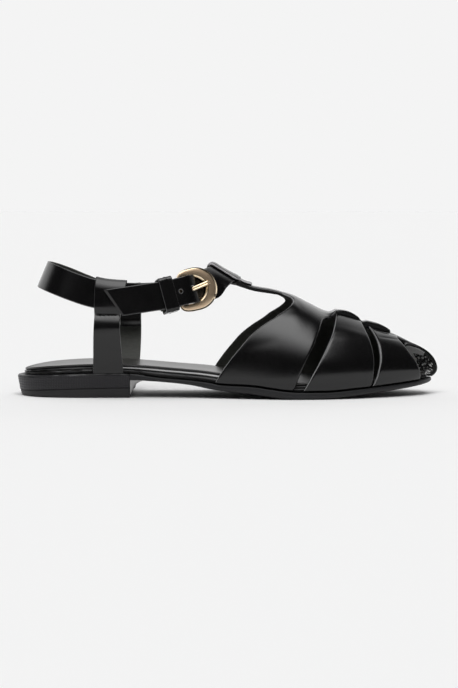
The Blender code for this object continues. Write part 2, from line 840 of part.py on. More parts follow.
# A post below its loop, as depths behind the loop's outer face; the fold's end is sewn on there.
POST_STEM = table("below outer inner", (1.8, 0.4, 3.7), (6.5, 0.5, 3.6), (7.3, 0.5, 0.5 + POST_THICKNESS))
POST_SHARES = (0.3, 0.65, 1.0)


def post_mesh(side, centre, base_x):
    """An upright strap from the seat to its loop, double where the fold is sewn down."""
    frames = [plumb(frame) for frame in frames_across(centre, POST_WIDTH, 5)]
    sections, cells = strap_loop(frames)
    last = len(sections[0]) // 2
    face = STRAP_THICKNESS / 2 + LOOP_CLEARANCE + LOOP_WALL
    half_up = STRAP_WIDTH / 2 + LOOP_CLEARANCE + LOOP_WALL
    for k, section in enumerate(sections):
        point, _, out, up = frames[k]
        for below, outer, inner in zip(POST_STEM["below"], POST_STEM["outer"], POST_STEM["inner"]):
            section.append(point + out * (face - outer) - up * (half_up + below))
            section.append(point + out * (face - inner) - up * (half_up + below))
        station = base_x + side * (k / (len(sections) - 1) - 0.5) * POST_BASE_WIDTH
        top_outer, top_inner = section[-2], section[-1]
        for share in POST_SHARES:
            for inset, top in ((POST_BASE_INSET, top_outer), (POST_BASE_INSET + POST_THICKNESS, top_inner)):
                plan, _ = rim(side, station, inset)
                foot = np.array([plan[0], plan[1], seat(station) + GAP])
                bow = math.sin(share * math.pi) * POST_BOW * side
                section.append(top + (foot - top) * share + np.array([0, bow, 0]))
    pair = (2 * last - 1, last)
    for k in range(len(POST_STEM["below"]) + len(POST_SHARES)):
        lower = (2 * last + 2 * k + 1, 2 * last + 2 * k)
        cells.append((pair[0], pair[1], lower[1], lower[0]))
        pair = lower
    return swept([np.array(section) for section in sections], cells)


# The end of the T-bar's fold, as heights of its faces over the ridge.
T_FOLD = table("x under over", (136.5, -0.2, 4.0), (141.5, -0.2, 4.3))


def t_loop_mesh():
    """The T-bar's loop round the ankle strap and the fold that is sewn down on the bar."""
    frames = frames_across(T_LOOP_CENTRE, T_LOOP_WIDTH, 5)
    sections, cells = strap_loop(frames, T_LOOP_DEPTH)
    last = len(sections[0]) // 2
    for k, section in enumerate(sections):
        for x, under, over in zip(T_FOLD["x"], T_FOLD["under"], T_FOLD["over"]):
            y = ridge_y(x) + frames[k][0][1]
            section.append(np.array([x, y, ridge_z(x) + over]))
            section.append(np.array([x, y, ridge_z(x) + under]))
    pair = (2 * last - 1, last)
    for k in range(len(T_FOLD["x"])):
        lower = (2 * last + 2 * k + 1, 2 * last + 2 * k)
        cells.append((pair[0], pair[1], lower[1], lower[0]))
        pair = lower
    return swept([np.array(section) for section in sections], cells)


def keeper_mesh():
    """A leather ring round the strap, its fold and its tail."""
    inner, outer = KEEPER_HOLE_OUT
    high = KEEPER_HOLE_UP
    hole = ((outer, -high), (outer, high), (inner, high), (inner, -high))
    wall = [(out + math.copysign(KEEPER_WALL, out), up + math.copysign(KEEPER_WALL, up)) for out, up in hole]
    sections = [np.array([at_buckle(along, out, up) for out, up in (*hole, *wall)]) for along in KEEPER_ALONG]
    cells = [(k, (k + 1) % 4, 4 + (k + 1) % 4, 4 + k) for k in range(4)]
    return swept(sections, cells)


# The horseshoe's outer and inner line: reach to the toe and to the bar, half height, and how square
# its bar end is. Its section: share of the way out, and level as a share of half its thickness.
BUCKLE_LINES = table(
    "toe bar height power",
    (12.6, BAR_SETBACK + BAR_WIDTH / 2, 12.8, 3.4),
    (6.6, BAR_SETBACK - BAR_WIDTH / 2, 9.5, 14.0),
)
BUCKLE_SECTION = table(
    "share level",
    (0, -0.6),
    (0.12, -1),
    (0.88, -1),
    (1, -0.6),
    (1, 0.2),
    (0.8, 0.85),
    (0.5, 1),
    (0.2, 0.85),
    (0, 0.2),
)
PRONG_ARM = table(
    "along over under",
    (-6.6, 2.9, 1.2),
    (-3.0, 3.1, 1.6),
    (2.0, 3.1, 1.7),
    (6.6, 3.0, 1.65),
    (8.2, 2.4, 1.6),
)


def buckle_point(angle, line):
    """A point of the horseshoe's outer or inner line: round to the toe, squared off at the bar."""
    c, s = math.cos(angle), math.sin(angle)
    power = 2.0 if c > 0 else BUCKLE_LINES["power"][line]
    reach = BUCKLE_LINES["toe" if c > 0 else "bar"][line]
    along = math.copysign(abs(c) ** (2 / power), c) * reach
    up = math.copysign(abs(s) ** (2 / power), s) * BUCKLE_LINES["height"][line]
    return np.array([along, up])


def buckle_frame_mesh():
    """A domed horseshoe, widest at the toe side, with the bar across its back."""
    half = BUCKLE_THICKNESS / 2
    sections = []
    for angle in np.linspace(0, 2 * math.pi, 40, endpoint=False):
        outer, inner = buckle_point(angle, 0), buckle_point(angle, 1)
        section = []
        for share, level in zip(BUCKLE_SECTION["share"], BUCKLE_SECTION["level"]):
            along, up = inner + (outer - inner) * share
            section.append(at_buckle(along, level * half, up))
        sections.append(np.array(section))
    return swept(sections, [tuple(range(len(BUCKLE_SECTION["share"])))], closed=True)


def buckle_prong_mesh():
    """The tongue: an eye round the bar and an arm that rests on the toe side of the frame."""
    inner = BAR_WIDTH / 2 + PRONG_EYE_CLEARANCE
    count = 10
    angles = [math.radians(90 - 36 * k) for k in range(count)]
    radii = (inner, inner + PRONG_EYE_WALL)
    shape = [(r * math.cos(a) - BAR_SETBACK, r * math.sin(a)) for r in radii for a in angles]
    cells = [(k, (k + 1) % count, count + (k + 1) % count, count + k) for k in range(count)]
    pair = (count, count + 1)
    for along, over, under in zip(PRONG_ARM["along"], PRONG_ARM["over"], PRONG_ARM["under"]):
        shape += [(along, over), (along, under)]
        lower = (len(shape) - 2, len(shape) - 1)
        cells.append((pair[0], pair[1], lower[1], lower[0]))
        pair = lower
    sides = (-PRONG_HALF_WIDTH, PRONG_HALF_WIDTH)
    sections = [np.array([at_buckle(a, o, up) for a, o in shape]) for up in sides]
    return swept(sections, cells)


def box_mesh(along, out, up):
    """A box in the buckle's axes, from pairs of limits."""
    corners = ((out[0], up[0]), (out[1], up[0]), (out[1], up[1]), (out[0], up[1]))
    sections = [np.array([at_buckle(a, o, u) for o, u in corners]) for a in along]
    return swept(sections, [(0, 1, 2, 3)])


def constant(value):
    return lambda station: np.full_like(np.asarray(station, float), value)


def build_sole(parent, black_leather, heel_cover, rubber, sock):
    def waist(extra):
        return lambda s: extra + WAIST_INSET * np.clip((WAIST_END_X - np.asarray(s, float)) / WAIST_RUN, 0, 1)

    def board(extra):
        return lambda s: midsole_inset(s) + extra

    cove = COVE_END_X - COVE_LENGTH * np.array([1.0, 0.96, 0.87, 0.71, 0.5, 0.0])
    levels = [
        (waist(1.0), tread),
        (waist(0.0), lambda x: tread(x) + 1.0),
        (waist(0.0), lambda x: seat(x) - 0.8),
        (waist(0.5), seat),
    ]
    mesh = sole_layer(HEEL_BREAST_X + GAP, TIP_STATION, levels, cove)
    make_object("outsole", *mesh, rubber, parent)
    levels = [
        (constant(1.5), lambda x: lift_joint(x) + GAP / 2),
        (constant(0.3), lambda x: seat(x) - 3.0),
        (constant(0.0), lambda x: seat(x) - 1.0),
        (constant(0.6), seat),
    ]
    mesh = sole_layer(HEEL_STATION, HEEL_BREAST_X, levels)
    make_object("heel_block", *mesh, heel_cover, parent)
    levels = [
        (constant(2.8), lambda x: np.zeros_like(x)),
        (constant(2.0), lambda x: np.full_like(x, 0.9)),
        (constant(1.6), lambda x: lift_joint(x) - GAP / 2),
    ]
    mesh = sole_layer(HEEL_STATION, HEEL_BREAST_X, levels)
    make_object("heel_top_lift", *mesh, rubber, parent)
    levels = [
        (board(0.0), lambda x: seat(x) + GAP),
        (board(0.0), lambda x: midsole_top(x) - 0.4),
        (board(0.5), midsole_top),
    ]
    mesh = sole_layer(HEEL_STATION, TIP_STATION, levels)
    make_object("midsole", *mesh, black_leather, parent)
    levels = [
        (board(0.2), lambda x: midsole_top(x) + GAP),
        (board(0.2), lambda x: sock_top(x) - 0.4),
        (board(0.7), sock_top),
    ]
    mesh = sole_layer(HEEL_STATION, TIP_STATION, levels)
    make_object("insole", *mesh, sock, parent)


def build_upper(parent, black_leather):
    vamp, strap_2, strap_3 = upper_patterns()

    def vamp_outer(station):
        return strip_outer(station) + T_BAR_EXTRA * np.clip((T_BAR_FROM - station) / T_BAR_TAPER, 0, 1)

    upper = make_object("upper", *lasted(vamp, strip_inner, vamp_outer), black_leather, parent)
    for name, outline in (("strap_2_form", strap_2), ("strap_3_form", strap_3)):
        form = make_object(name, *lasted(outline, constant(0.0), constant(WALL)), black_leather, parent)
        combine(upper, form, "UNION")
    form = make_object("t_loop_form", *t_loop_mesh(), black_leather, parent)
    combine(upper, form, "UNION")


def build_ankle(parent, black_leather, gold):
    strap = make_object("ankle_strap", *ankle_strap_mesh(), black_leather, parent)
    bar_slot = box_mesh(*BAR_SLOT)
    combine(strap, make_object("bar_slot_form", *bar_slot, black_leather, parent), "DIFFERENCE")
    prong_hole = box_mesh(*PRONG_HOLE)
    combine(strap, make_object("prong_hole_form", *prong_hole, black_leather, parent), "DIFFERENCE")
    mesh = post_mesh(LATERAL, *LATERAL_POST)
    make_object("post_lateral", *mesh, black_leather, parent)
    mesh = post_mesh(MEDIAL, *MEDIAL_POST)
    make_object("post_medial", *mesh, black_leather, parent)
    make_object("keeper", *keeper_mesh(), black_leather, parent)
    make_object("buckle_frame", *buckle_frame_mesh(), gold, parent)
    make_object("buckle_prong", *buckle_prong_mesh(), gold, parent)


def main():
    for item in list(bpy.data.objects):
        bpy.data.objects.remove(item)
    black_leather = make_material("black_leather", (0.012, 0.012, 0.013), 0.35, 0.0)
    heel_cover = make_material("heel_cover", (0.016, 0.016, 0.018), 0.45, 0.0)
    rubber = make_material("black_rubber", (0.014, 0.014, 0.015), 0.55, 0.0)
    sock = make_material("sock_leather", (0.03, 0.03, 0.03), 0.3, 0.0)
    gold = make_material("pale_gold", (0.72, 0.55, 0.33), 0.28, 1.0)
    frame = bpy.data.objects.new("sandal_frame", None)
    frame.location = (-HEEL_CENTRE_X * MM, 0, 0)
    bpy.context.scene.collection.objects.link(frame)
    build_sole(frame, black_leather, heel_cover, rubber, sock)
    build_upper(frame, black_leather)
    build_ankle(frame, black_leather, gold)


main()
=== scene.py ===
"""Looks of the right-foot ankle strap sandal: leather, linings, stitches, pleats and metal, each
built over the solid that carries it, with a pale floor, soft light and the photograph's camera.

Sizes are millimetres until a piece is made: x runs from the back of the heel to the toe, y from the
outer (lateral, negative) side to the inner (medial) side, and z up from the floor. A station is an
x along the sole's edge, spread out around the round heel and toe. The girth of the last runs from
-1 at the lateral sole edge, over the ridge at 0, to 1 at the medial edge, and a rise is
1 - |girth|.
"""

import math

import bmesh
import bpy
import numpy as np
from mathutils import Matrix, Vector, noise
from mathutils.geometry import delaunay_2d_cdt

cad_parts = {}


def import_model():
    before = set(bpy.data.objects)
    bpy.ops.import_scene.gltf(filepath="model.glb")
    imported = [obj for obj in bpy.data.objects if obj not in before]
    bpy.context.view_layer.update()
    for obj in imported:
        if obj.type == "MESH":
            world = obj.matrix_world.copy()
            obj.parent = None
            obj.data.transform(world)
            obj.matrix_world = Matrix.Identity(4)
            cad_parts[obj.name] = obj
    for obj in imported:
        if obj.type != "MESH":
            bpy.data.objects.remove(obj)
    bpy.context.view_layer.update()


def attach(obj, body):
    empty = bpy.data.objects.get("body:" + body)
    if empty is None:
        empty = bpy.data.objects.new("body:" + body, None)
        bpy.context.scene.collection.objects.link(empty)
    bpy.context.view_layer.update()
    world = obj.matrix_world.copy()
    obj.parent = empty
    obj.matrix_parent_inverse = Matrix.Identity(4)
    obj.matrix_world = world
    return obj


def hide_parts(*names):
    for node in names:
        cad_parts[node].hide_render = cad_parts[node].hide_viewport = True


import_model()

MM = 0.001
LATERAL, MEDIAL = -1, 1
GAP = 0.3

# Sole
HEEL_CENTRE_X = 30.0
HEEL_BREAST_X = 69.0
HEEL_ROUND = 20.0
TOE_ROUND = 20.0
TOE_TIP = (251.5, 5.0)
COVE_END_X = 78.0
COVE_LENGTH = 7.8
COVE_DROP = 8.2
SOCK_THICKNESS = 1.2
MIDSOLE_INSET = 2.9
MIDSOLE_HEEL_INSET = 4.2
MIDSOLE_INSET_RUN = 60.0

# Upper
WALL = 2.0
BASE_INSET = 2.5
FAN_FROM = 190.0
FAN_RIDGE_X = 235.0
GIRTH_MM = 70.0
PATTERN_STEP = 1.2
LEVEL_RISE = 0.12
T_BAR_RISE = 0.917
T_BAR_END = 130.4
STRIP_END = 235.5
STRIP_END_GIRTH = 0.08

# Straps and buckle
STRAP_WIDTH = 16.8
STRAP_THICKNESS = 1.6
STRAP_EDGE = 0.55
TAIL_SKEW = 4.2
TAIL_SKEW_RUN = 14.0
FRAME_STEP = 0.25
LOOP_WALL = 1.4
LOOP_CLEARANCE = 0.45
POST_WIDTH = 15.0
POST_BASE_WIDTH = 18.0
POST_THICKNESS = 1.7
POST_BASE_INSET = 0.5
POST_BOW = 1.2
POST_HALF = 0.74
POST_EDGE = 0.45
LATERAL_POST = ((56.5, -31.2, 61.0), 56.3)
MEDIAL_POST = ((66, 31.3, 56.2), 63.8)
T_LOOP_WIDTH = 13.0
T_LOOP_DEPTH = 0.6
T_LOOP_PLACE = (125, 0, 73.9)
T_LOOP_HALF = 0.72
T_LOOP_EDGE = 0.5
T_LOOP_DOME = (0.5, 6.0)
KEEPER_HOLE_OUT = (-3.3, 5.5)
KEEPER_HOLE_UP = 9.25
KEEPER_WALL = 1.3
KEEPER_EDGE = 0.4
KEEPER_CORNER = 1.5
KEEPER_ALONG = (-14.6, -22.8)
BUCKLE_CENTRE = (108.9, -25.5, 65.3)
BUCKLE_TURN = math.radians(17.0)
BUCKLE_RISE = math.radians(12.5)
BUCKLE_LEAN = math.radians(12.0)
BUCKLE_THICKNESS = 2.4
BAR_SETBACK = 10.4
BAR_WIDTH = 2.2
FOLD_RADIUS = 2.5
PRONG_HALF_WIDTH = 1.35
PRONG_EYE_CLEARANCE = 0.45
PRONG_EYE_WALL = 1.0
SHARP_ANGLE = math.radians(35)
BOARD_SHARP_ANGLE = math.radians(60)
FRAME_SHARP_ANGLE = math.radians(24)

# Looks. A pair whose name ends in RUN gives the places where a change starts and ends. EDGE_ROLL,
# LINING_LIP, TUCK and STITCH_GROOVE give a depth and the distance over which it fades.
OUTLINE_STEP = 1.2
LEATHER_STEP = 1.5
EDGE_RADIUS = 0.8
# Width, facing and girth limits of the painted highlight along the upper's edges that face the
# heel.
EDGE_HIGHLIGHT_WIDTH = 0.4
EDGE_HIGHLIGHT_FACING = 0.25
EDGE_HIGHLIGHT_GIRTH = 0.985
LINING_LIP = (0.25, 0.5)
EDGE_ROLL = (0.16, 1.5)
EDGE_RINGS = (0.15, 0.4, 0.8, 1.4)
EDGE_STEPS = ((0.0, 1.0), (0.3, 1.1), (0.08, 1.22), (0.08, 1.7))
RELIEF_GIRTH = 0.2
BAR_FADE = 0.1
STRIP_FADE = 0.07
STRIP_FLAT = 0.7
STRIP_FLAT_RUN = (187, 192)
STRIP_FLAT_GIRTH = (0.1, 0.14)
STRAP_2_CROWN = 1.5
STRAP_3_CROWN = 0.55
CROWN_GIRTH = 0.34
CROWN_RUN = 0.22
TUCK = (0.8, 1.9)
PLEAT_RISE = 0.44
PLEAT_DEPTH = 1.7
# Pleat crests above this fold height are painted near white: a painted highlight.
PLEAT_HIGHLIGHT_CREST = 0.22
PLEAT_FROM = 247.0
# Where the lining inside the toe is painted near white: painted light where light comes in through
# the toe's opening.
TOE_LINING_FROM = 224.0
TOE_HIGHLIGHT_TO = 247.5
TOE_HIGHLIGHT_RISE = 0.8
SPARE_HOLE = (-11.1, 0.0)
SPARE_HOLE_RADIUS = 1.0
SPARE_HOLE_REACH = (3.0, 5.6)
EYE_SLOT = ((-BAR_SETBACK - 3.6, -BAR_SETBACK + 4.2), (-4.0, 3.25), (-2.1, 2.1))
PRONG_SLOT = ((-3.7, 2.4), (-0.4, 4.4), (-1.7, 1.9))
HOLE_RIM_OUT = 5.02
STITCH_BELOW = 0.9
STITCH_PITCH = 2.4
STITCH_LENGTH = 0.8 * STITCH_PITCH
LOOP_FLARE = 1.05
LOOP_FLARE_PEAK = 0.3
LOOP_SPREAD = 4.0
STITCH_GROOVE = (0.45, 0.6)
STITCH_PUCKER = (0.2, 1.2, 1.1)
POST_THREAD = 0.24
T_LOOP_THREAD = 0.28
T_STITCH_FROM_END = 9.2
KEEPER_RIDGE = -0.2
PRONG_ROD = 0.64
FRAME_BEND = (1.2, 0.3)
FRAME_BEND_RUN = (3, 13)
HORN_LOW = 0.34
SOLE_THICK = 4.2
WAIST_INSET = 0.8
WAIST_RUN = (100, 130)
LEATHER_STREAK = 0.08
COVE_LIP = 0.4
WORN_DEPTH = 0.45
CRINKLE_DEPTH = 0.7
CRINKLE_RUN = (22, 62)
CRINKLE_LEAST = 0.12
# Stations between which the board's rounded top edge is painted light grey, a painted highlight.
BOARD_HIGHLIGHT_RUN = (64, 126)
DISH = (0.5, 1.0)
DISH_RUN = (20, 60)
SOCK_SHADE = (148, 243)
FLOOR_HALF = 60.0
FLOOR_TONE = 0.885
BACKDROP = 0.905
BOX_NEAR = (25, 60)
BOX_FAR = (80, 110)
BOX_LEFT = (-0.85, 0.0)
BOX_RIGHT = (0.34, 0.44)
BOX_LIGHT = 5.05
ROOM_LIGHT = 0.03
BACK_RISE = (116, 150)
BACK_LIGHT = 1.35
CAMERA_PLACE = (0.0982, -1.265, 0.113)
CAMERA_DIP = 3.73
CAMERA_PIXELS = 2087
CAMERA_SENSOR = 36.0
PHOTO_HEIGHT = 688


def table(columns, *rows):
    """A table with named columns."""
    return dict(zip(columns.split(), np.array(rows, float).T))


OUTLINE = table(
    "x lateral medial",
    (6, 16.0, 16.0),
    (20, 26.0, 26.0),
    (45, 28.5, 28.3),
    (80, 28.0, 25.2),
    (110, 31.0, 24.8),
    (140, 37.0, 31.0),
    (165, 40.3, 38.8),
    (185, 38.6, 41.8),
    (205, 32.6, 38.5),
    (225, 23.0, 30.6),
    (238, 14.8, 22.9),
    (246, 7.6, 16.6),
)
# Tread: underside of the outsole. Seat: its top, which the midsole and the straps stand on.
TREAD = table(
    "x z",
    (77, 10.2),
    (90, 9.3),
    (100, 8.4),
    (108, 7.3),
    (117, 5.5),
    (126, 4.3),
    (135, 3.5),
    (144, 2.6),
    (152, 1.4),
    (160, 0.4),
    (167, 0.0),
    (184, 0.0),
    (200, 1.2),
    (220, 3.3),
    (241, 5.7),
    (251.5, 7.3),
)
SEAT = table(
    "x z",
    (0, 12.4),
    (10, 13.0),
    (28, 14.0),
    (50, 14.5),
    (69, 14.4),
    (74, 14.0),
    (82, 12.7),
    (90, 11.8),
    (100, 11.1),
    (110, 10.2),
    (117, 9.3),
    (122, 8.3),
    (128, 7.9),
    (136, 7.7),
    (144, 7.2),
    (152, 6.1),
    (161, 4.9),
    (172, 4.2),
    (185, 4.2),
    (205, 5.6),
    (225, 7.3),
    (241, 9.0),
    (251.5, 10.4),
)
SOCK_TOP = table(
    "x z",
    (5, 16.5),
    (10, 17.5),
    (25, 19.2),
    (48, 20.2),
    (65, 20.0),
    (80, 19.2),
    (90, 18.4),
    (100, 17.6),
    (113, 16.5),
    (130, 14.2),
    (150, 11.3),
    (170, 9.8),
    (190, 9.7),
    (210, 10.3),
    (230, 11.7),
    (250, 13.4),
)
LIFT_JOINT = table("x z", (0, 3.0), (12, 4.2), (28, 5.1), (50, 5.7), (69, 6.0))
# Ridge: the last's top line. Side: how far its wall swells out over the sole, at which rise, and
# the power of the arch from there to the ridge.
RIDGE = table(
    "x y z",
    (110, 1.0, 71.5),
    (129, 1.5, 68.0),
    (136, 1.8, 65.6),
    (143, 2.0, 63.4),
    (158, 2.5, 60.9),
    (165, 2.8, 59.0),
    (176, 3.2, 53.7),
    (187, 3.6, 48.3),
    (200, 4.0, 44.2),
    (212, 4.3, 39.6),
    (225, 4.8, 34.8),
    (235, 5.0, 28.9),
)
SIDE = table(
    "station swell height power",
    (110, 0.8, 4.2, 2.1),
    (150, 1.4, 5.0, 2.05),
    (166, 1.6, 7.2, 2.0),
    (190, 1.8, 9.6, 2.0),
    (225, 2.0, 7.9, 1.9),
    (250, 3.0, 5.6, 1.78),
    (271.5, 4.5, 4.6, 1.85),
)
# Cut edges of the upper's straps, from the sole up.
VAMP_BACK = table(
    "rise station",
    (0, 119.5),
    (0.117, 124.5),
    (0.2, 129.0),
    (0.3, 135.0),
    (0.4, 141.0),
    (0.483, 147.3),
    (0.567, 154.8),
    (0.617, 158.3),
    (0.657, 161.1),
    (0.714, 164.0),
    (0.784, 165.9),
    (0.84, 166.2),
    (0.875, 165.3),
    (0.905, 162.0),
    (T_BAR_RISE, 156.0),
)
VAMP_FRONT = table(
    "rise station",
    (0, 165.9),
    (0.12, 169.7),
    (0.236, 173.4),
    (0.303, 175.7),
    (0.383, 178.2),
    (0.444, 179.7),
    (0.546, 181.7),
    (0.637, 183.1),
    (0.707, 184.3),
    (0.755, 185.8),
    (0.79, 188.2),
    (0.83, 190.6),
    (0.88, 192.4),
    (0.91, 195.2),
    (0.92, 199.0),
)
STRIP_EDGE = table(
    "rise station",
    (0.922, 203.0),
    (0.915, 208.0),
    (0.9, 215.0),
    (0.885, 226.0),
    (0.88, 233.0),
)
STRAP_2_BACK = table(
    "rise station",
    (0, 171.8),
    (0.1, 175.8),
    (0.16, 178.2),
    (0.224, 180.7),
    (0.308, 183.6),
    (0.432, 187.2),
    (0.532, 189.4),
    (0.68, 191.2),
    (0.85, 192.2),
    (1, 192.5),
)
STRAP_2_FRONT = table(
    "rise station",
    (0, 213.0),
    (0.15, 213.9),
    (0.283, 214.3),
    (0.417, 214.0),
    (0.55, 213.0),
    (0.7, 211.6),
    (0.85, 209.6),
    (1, 208.8),
)
STRAP_3_BACK = table(
    "rise station",
    (0, 213.8),
    (0.183, 216.8),
    (0.283, 218.0),
    (0.433, 218.4),
    (0.6, 218.0),
    (0.783, 216.5),
    (1, 214.5),
)
STRAP_3_FRONT = table(
    "rise station",
    (0, 247.0),
    (0.183, 244.0),
    (0.317, 241.5),
    (0.417, 239.3),
    (0.533, 238.0),
    (0.667, 237.0),
    (0.78, 237.5),
    (0.88, 240.5),
    (0.96, 248.0),
)
# Face of the centre strip, which bulges where it crosses the two straps.
STRIP_TOP = table(
    "station outer",
    (184, 2.0),
    (188.5, 2.6),
    (191.5, 4.7),
    (199, 6.0),
    (206, 4.9),
    (209.5, 3.2),
    (213, 4.5),
    (220, 4.9),
    (226, 4.5),
    (231, 3.7),
    (235.5, 2.6),
)
# How far back the cut edges of the medial side lie behind those of the lateral side.
MEDIAL_SHIFT = table(
    "rise station",
    (0, -3.2),
    (0.35, -5.2),
    (0.6, -5.2),
    (0.75, -3.6),
    (0.9, -1.2),
    (1, 0),
)
# The same for the throat's edge, which turns into the T-bar in a wider bend on the medial side.
THROAT_SHIFT = table(
    "rise station",
    (0, -3.2),
    (0.35, -5.2),
    (0.6, -4.9),
    (0.7, -3.7),
    (0.767, -3.3),
    (0.835, -4.2),
    (0.875, -5.4),
    (0.905, -4.6),
    (T_BAR_RISE, 0),
)
# Ankle strap from the lateral side round the back to the front, with the tilt of its face.
ANKLE_RING = table(
    "x y z lean",
    (80, -32.0, 60.5, 5),
    (66, -31.7, 60.6, 4),
    (56.5, -31.2, 61.0, 4),
    (47, -29.6, 62.7, 7),
    (38, -27.0, 65.4, 12),
    (28, -22.2, 68.9, 17),
    (20, -13.5, 71.7, 21),
    (16, 0, 73.0, 23),
    (20, 13.5, 71.6, 21),
    (28, 22.2, 68.3, 17),
    (38, 27.0, 63.9, 12),
    (47, 29.6, 60.2, 7),
    (57, 31.0, 57.4, 4),
    (66, 31.3, 56.2, 4),
    (80, 31.0, 57.5, 6),
    (95, 28.8, 60.5, 12),
    (108, 24.0, 65.0, 25),
    (117, 17.0, 69.2, 42),
    (123, 8.5, 72.9, 56),
    (125, 0, 73.9, 62.5),
    (123.3, -8.5, 72.9, 56),
    (120, -15.5, 70.3, 42),
)
# The strap at the buckle, in the buckle's own axes: along it, and out from its middle plane.
BUCKLE_PASS = table(
    "along out",
    (10.5, -2.9),
    (5.5, -2.8),
    (2.3, -2.0),
    (-1.7, 1.4),
    (-5.7, 3.8),
    (-10.4, 4.25),
    (-16.0, 4.2),
)
ANKLE_TAIL = table(
    "x y z lean",
    (76, -35.4, 59.5, 7),
    (67, -36.0, 58.2, 6),
    (59.8, -36.2, 57.1, 6),
)


def unit(vectors):
    return vectors / np.linalg.norm(vectors, axis=-1, keepdims=True)


def turns(count):
    """Angles spread evenly round a circle."""
    return np.linspace(0, 2 * math.pi, count, endpoint=False)


def eased(share):
    """A share from 0 to 1 that starts and ends gently."""
    return share**2 * (3 - 2 * share)


def hermite(t, span, start, end, slope_start, slope_end):
    """A cubic over a span between two values, with a slope at each."""
    ends = (1 + 2 * t) * (1 - t) ** 2 * start + t * t * (3 - 2 * t) * end
    return ends + span * t * (1 - t) * ((1 - t) * slope_start - t * slope_end)


def arc_lengths(points):
    """Distance of each point of a row from the first, along the row."""
    return np.concatenate([[0], np.cumsum(np.linalg.norm(np.diff(points, axis=0), axis=1))])


def interpolated(at, knots, points):
    """Points between those of a row, which lie at the knots."""
    return np.stack([np.interp(at, knots, points[:, i]) for i in range(3)], 1)


def smooth(rows, key, column):
    """A smooth function through one column of a table that never overshoots its rows."""
    xs, ys = rows[key], rows[column]
    dx = np.diff(xs)
    slope = np.diff(ys) / dx
    tangent = np.concatenate([slope[:1], np.zeros(len(xs) - 2), slope[-1:]])
    for i in range(1, len(xs) - 1):
        before, after = slope[i - 1], slope[i]
        if before * after > 0:
            weight_before = 2 * dx[i] + dx[i - 1]
            weight_after = dx[i] + 2 * dx[i - 1]
            total = weight_before + weight_after
            tangent[i] = total / (weight_before / before + weight_after / after)

    def value(x):
        x = np.clip(np.asarray(x, float), xs[0], xs[-1])
        i = np.clip(np.searchsorted(xs, x, side="right") - 1, 0, len(xs) - 2)
        t = (x - xs[i]) / dx[i]
        return hermite(t, dx[i], ys[i], ys[i + 1], tangent[i], tangent[i + 1])

    return value


def closed_curve(points, per_span):
    """A closed curve with even curvature through plan points."""
    points = np.asarray(points, float)
    count = len(points)
    following = np.roll(points, -1, axis=0)
    span = np.linalg.norm(following - points, axis=1)
    system = np.zeros((count, count))
    wanted = np.zeros((count, 2))
    for i in range(count):
        before, after = span[i - 1], span[i]
        system[i, i - 1] += 1 / before
        system[i, i] += 2 / before + 2 / after
        system[i, (i + 1) % count] += 1 / after
        rise_before = (points[i] - points[i - 1]) / before**2
        rise_after = (following[i] - points[i]) / after**2
        wanted[i] = 3 * (rise_before + rise_after)
    tangent = np.linalg.solve(system, wanted)
    t = np.linspace(0, 1, per_span, endpoint=False)[:, None]
    spans = zip(span, points, following, tangent, np.roll(tangent, -1, axis=0))
    return np.concatenate([hermite(t, *values) for values in spans])


def open_curve(points, step=1.0, count=None):
    """Points about a step apart, or a count of them, on a smooth curve through the given points."""
    points = np.asarray(points, float)
    knots = arc_lengths(points[:, :3])
    tangent = np.gradient(points, knots, axis=0, edge_order=2 if len(points) > 2 else 1)
    count = count or max(2, int(round(knots[-1] / step)) + 1)
    at = np.linspace(0, knots[-1], count)
    i = np.clip(np.searchsorted(knots, at, side="right") - 1, 0, len(points) - 2)
    span = (knots[i + 1] - knots[i])[:, None]
    t = (at - knots[i])[:, None] / span
    return hermite(t, span, points[i], points[i + 1], tangent[i], tangent[i + 1])


def sole_sides():
    """Each side of the sole's edge from heel to toe: columns x, y and the outward normal."""
    lateral = np.stack([OUTLINE["x"], -OUTLINE["lateral"]], 1)
    medial = np.stack([OUTLINE["x"], OUTLINE["medial"]], 1)
    loop = closed_curve(np.concatenate([[(0, 0)], lateral, [TOE_TIP], medial[::-1]]), 60)
    loop = np.roll(loop, -int(np.argmin(loop[:, 0])), axis=0)
    tip = int(np.argmax(loop[:, 0]))
    along = np.roll(loop, -1, axis=0) - np.roll(loop, 1, axis=0)
    normal = np.stack([along[:, 1], -along[:, 0]], 1)
    normal /= np.linalg.norm(normal, axis=1)[:, None]
    both = np.concatenate([loop, normal], 1)
    back = np.concatenate([both[tip:], both[:1]])[::-1]
    return {LATERAL: both[: tip + 1], MEDIAL: back}


SOLE_SIDES = sole_sides()
SOLE_LENGTH = SOLE_SIDES[LATERAL][-1, 0]
HEEL_STATION = -HEEL_ROUND
TIP_STATION = SOLE_LENGTH + TOE_ROUND
seat = smooth(SEAT, "x", "z")
sock_top = smooth(SOCK_TOP, "x", "z")
lift_joint = smooth(LIFT_JOINT, "x", "z")
flat_tread = smooth(TREAD, "x", "z")


def station_x(station):
    """The x of a station."""
    station = np.asarray(station, float)
    heel_share = np.clip((station + HEEL_ROUND) / (2 * HEEL_ROUND), 0, 1)
    toe_start = SOLE_LENGTH - TOE_ROUND
    toe_share = np.clip((station - toe_start) / (2 * TOE_ROUND), 0, 1)
    toe = SOLE_LENGTH - TOE_ROUND * (1 - toe_share) ** 2
    x = np.where(station < HEEL_ROUND, HEEL_ROUND * heel_share**2, station)
    return np.where(station > toe_start, toe, x)


def rim(side, station, inset=0.0):
    """The plan point of the sole's edge on one side, moved inwards, and its outward normal."""
    x = station_x(station)
    edge = SOLE_SIDES[side]
    y, normal_x, normal_y = (np.interp(x, edge[:, 0], edge[:, i]) for i in (1, 2, 3))
    point = np.stack([x - inset * normal_x, y - inset * normal_y], -1)
    return point, np.stack([normal_x, normal_y], -1)


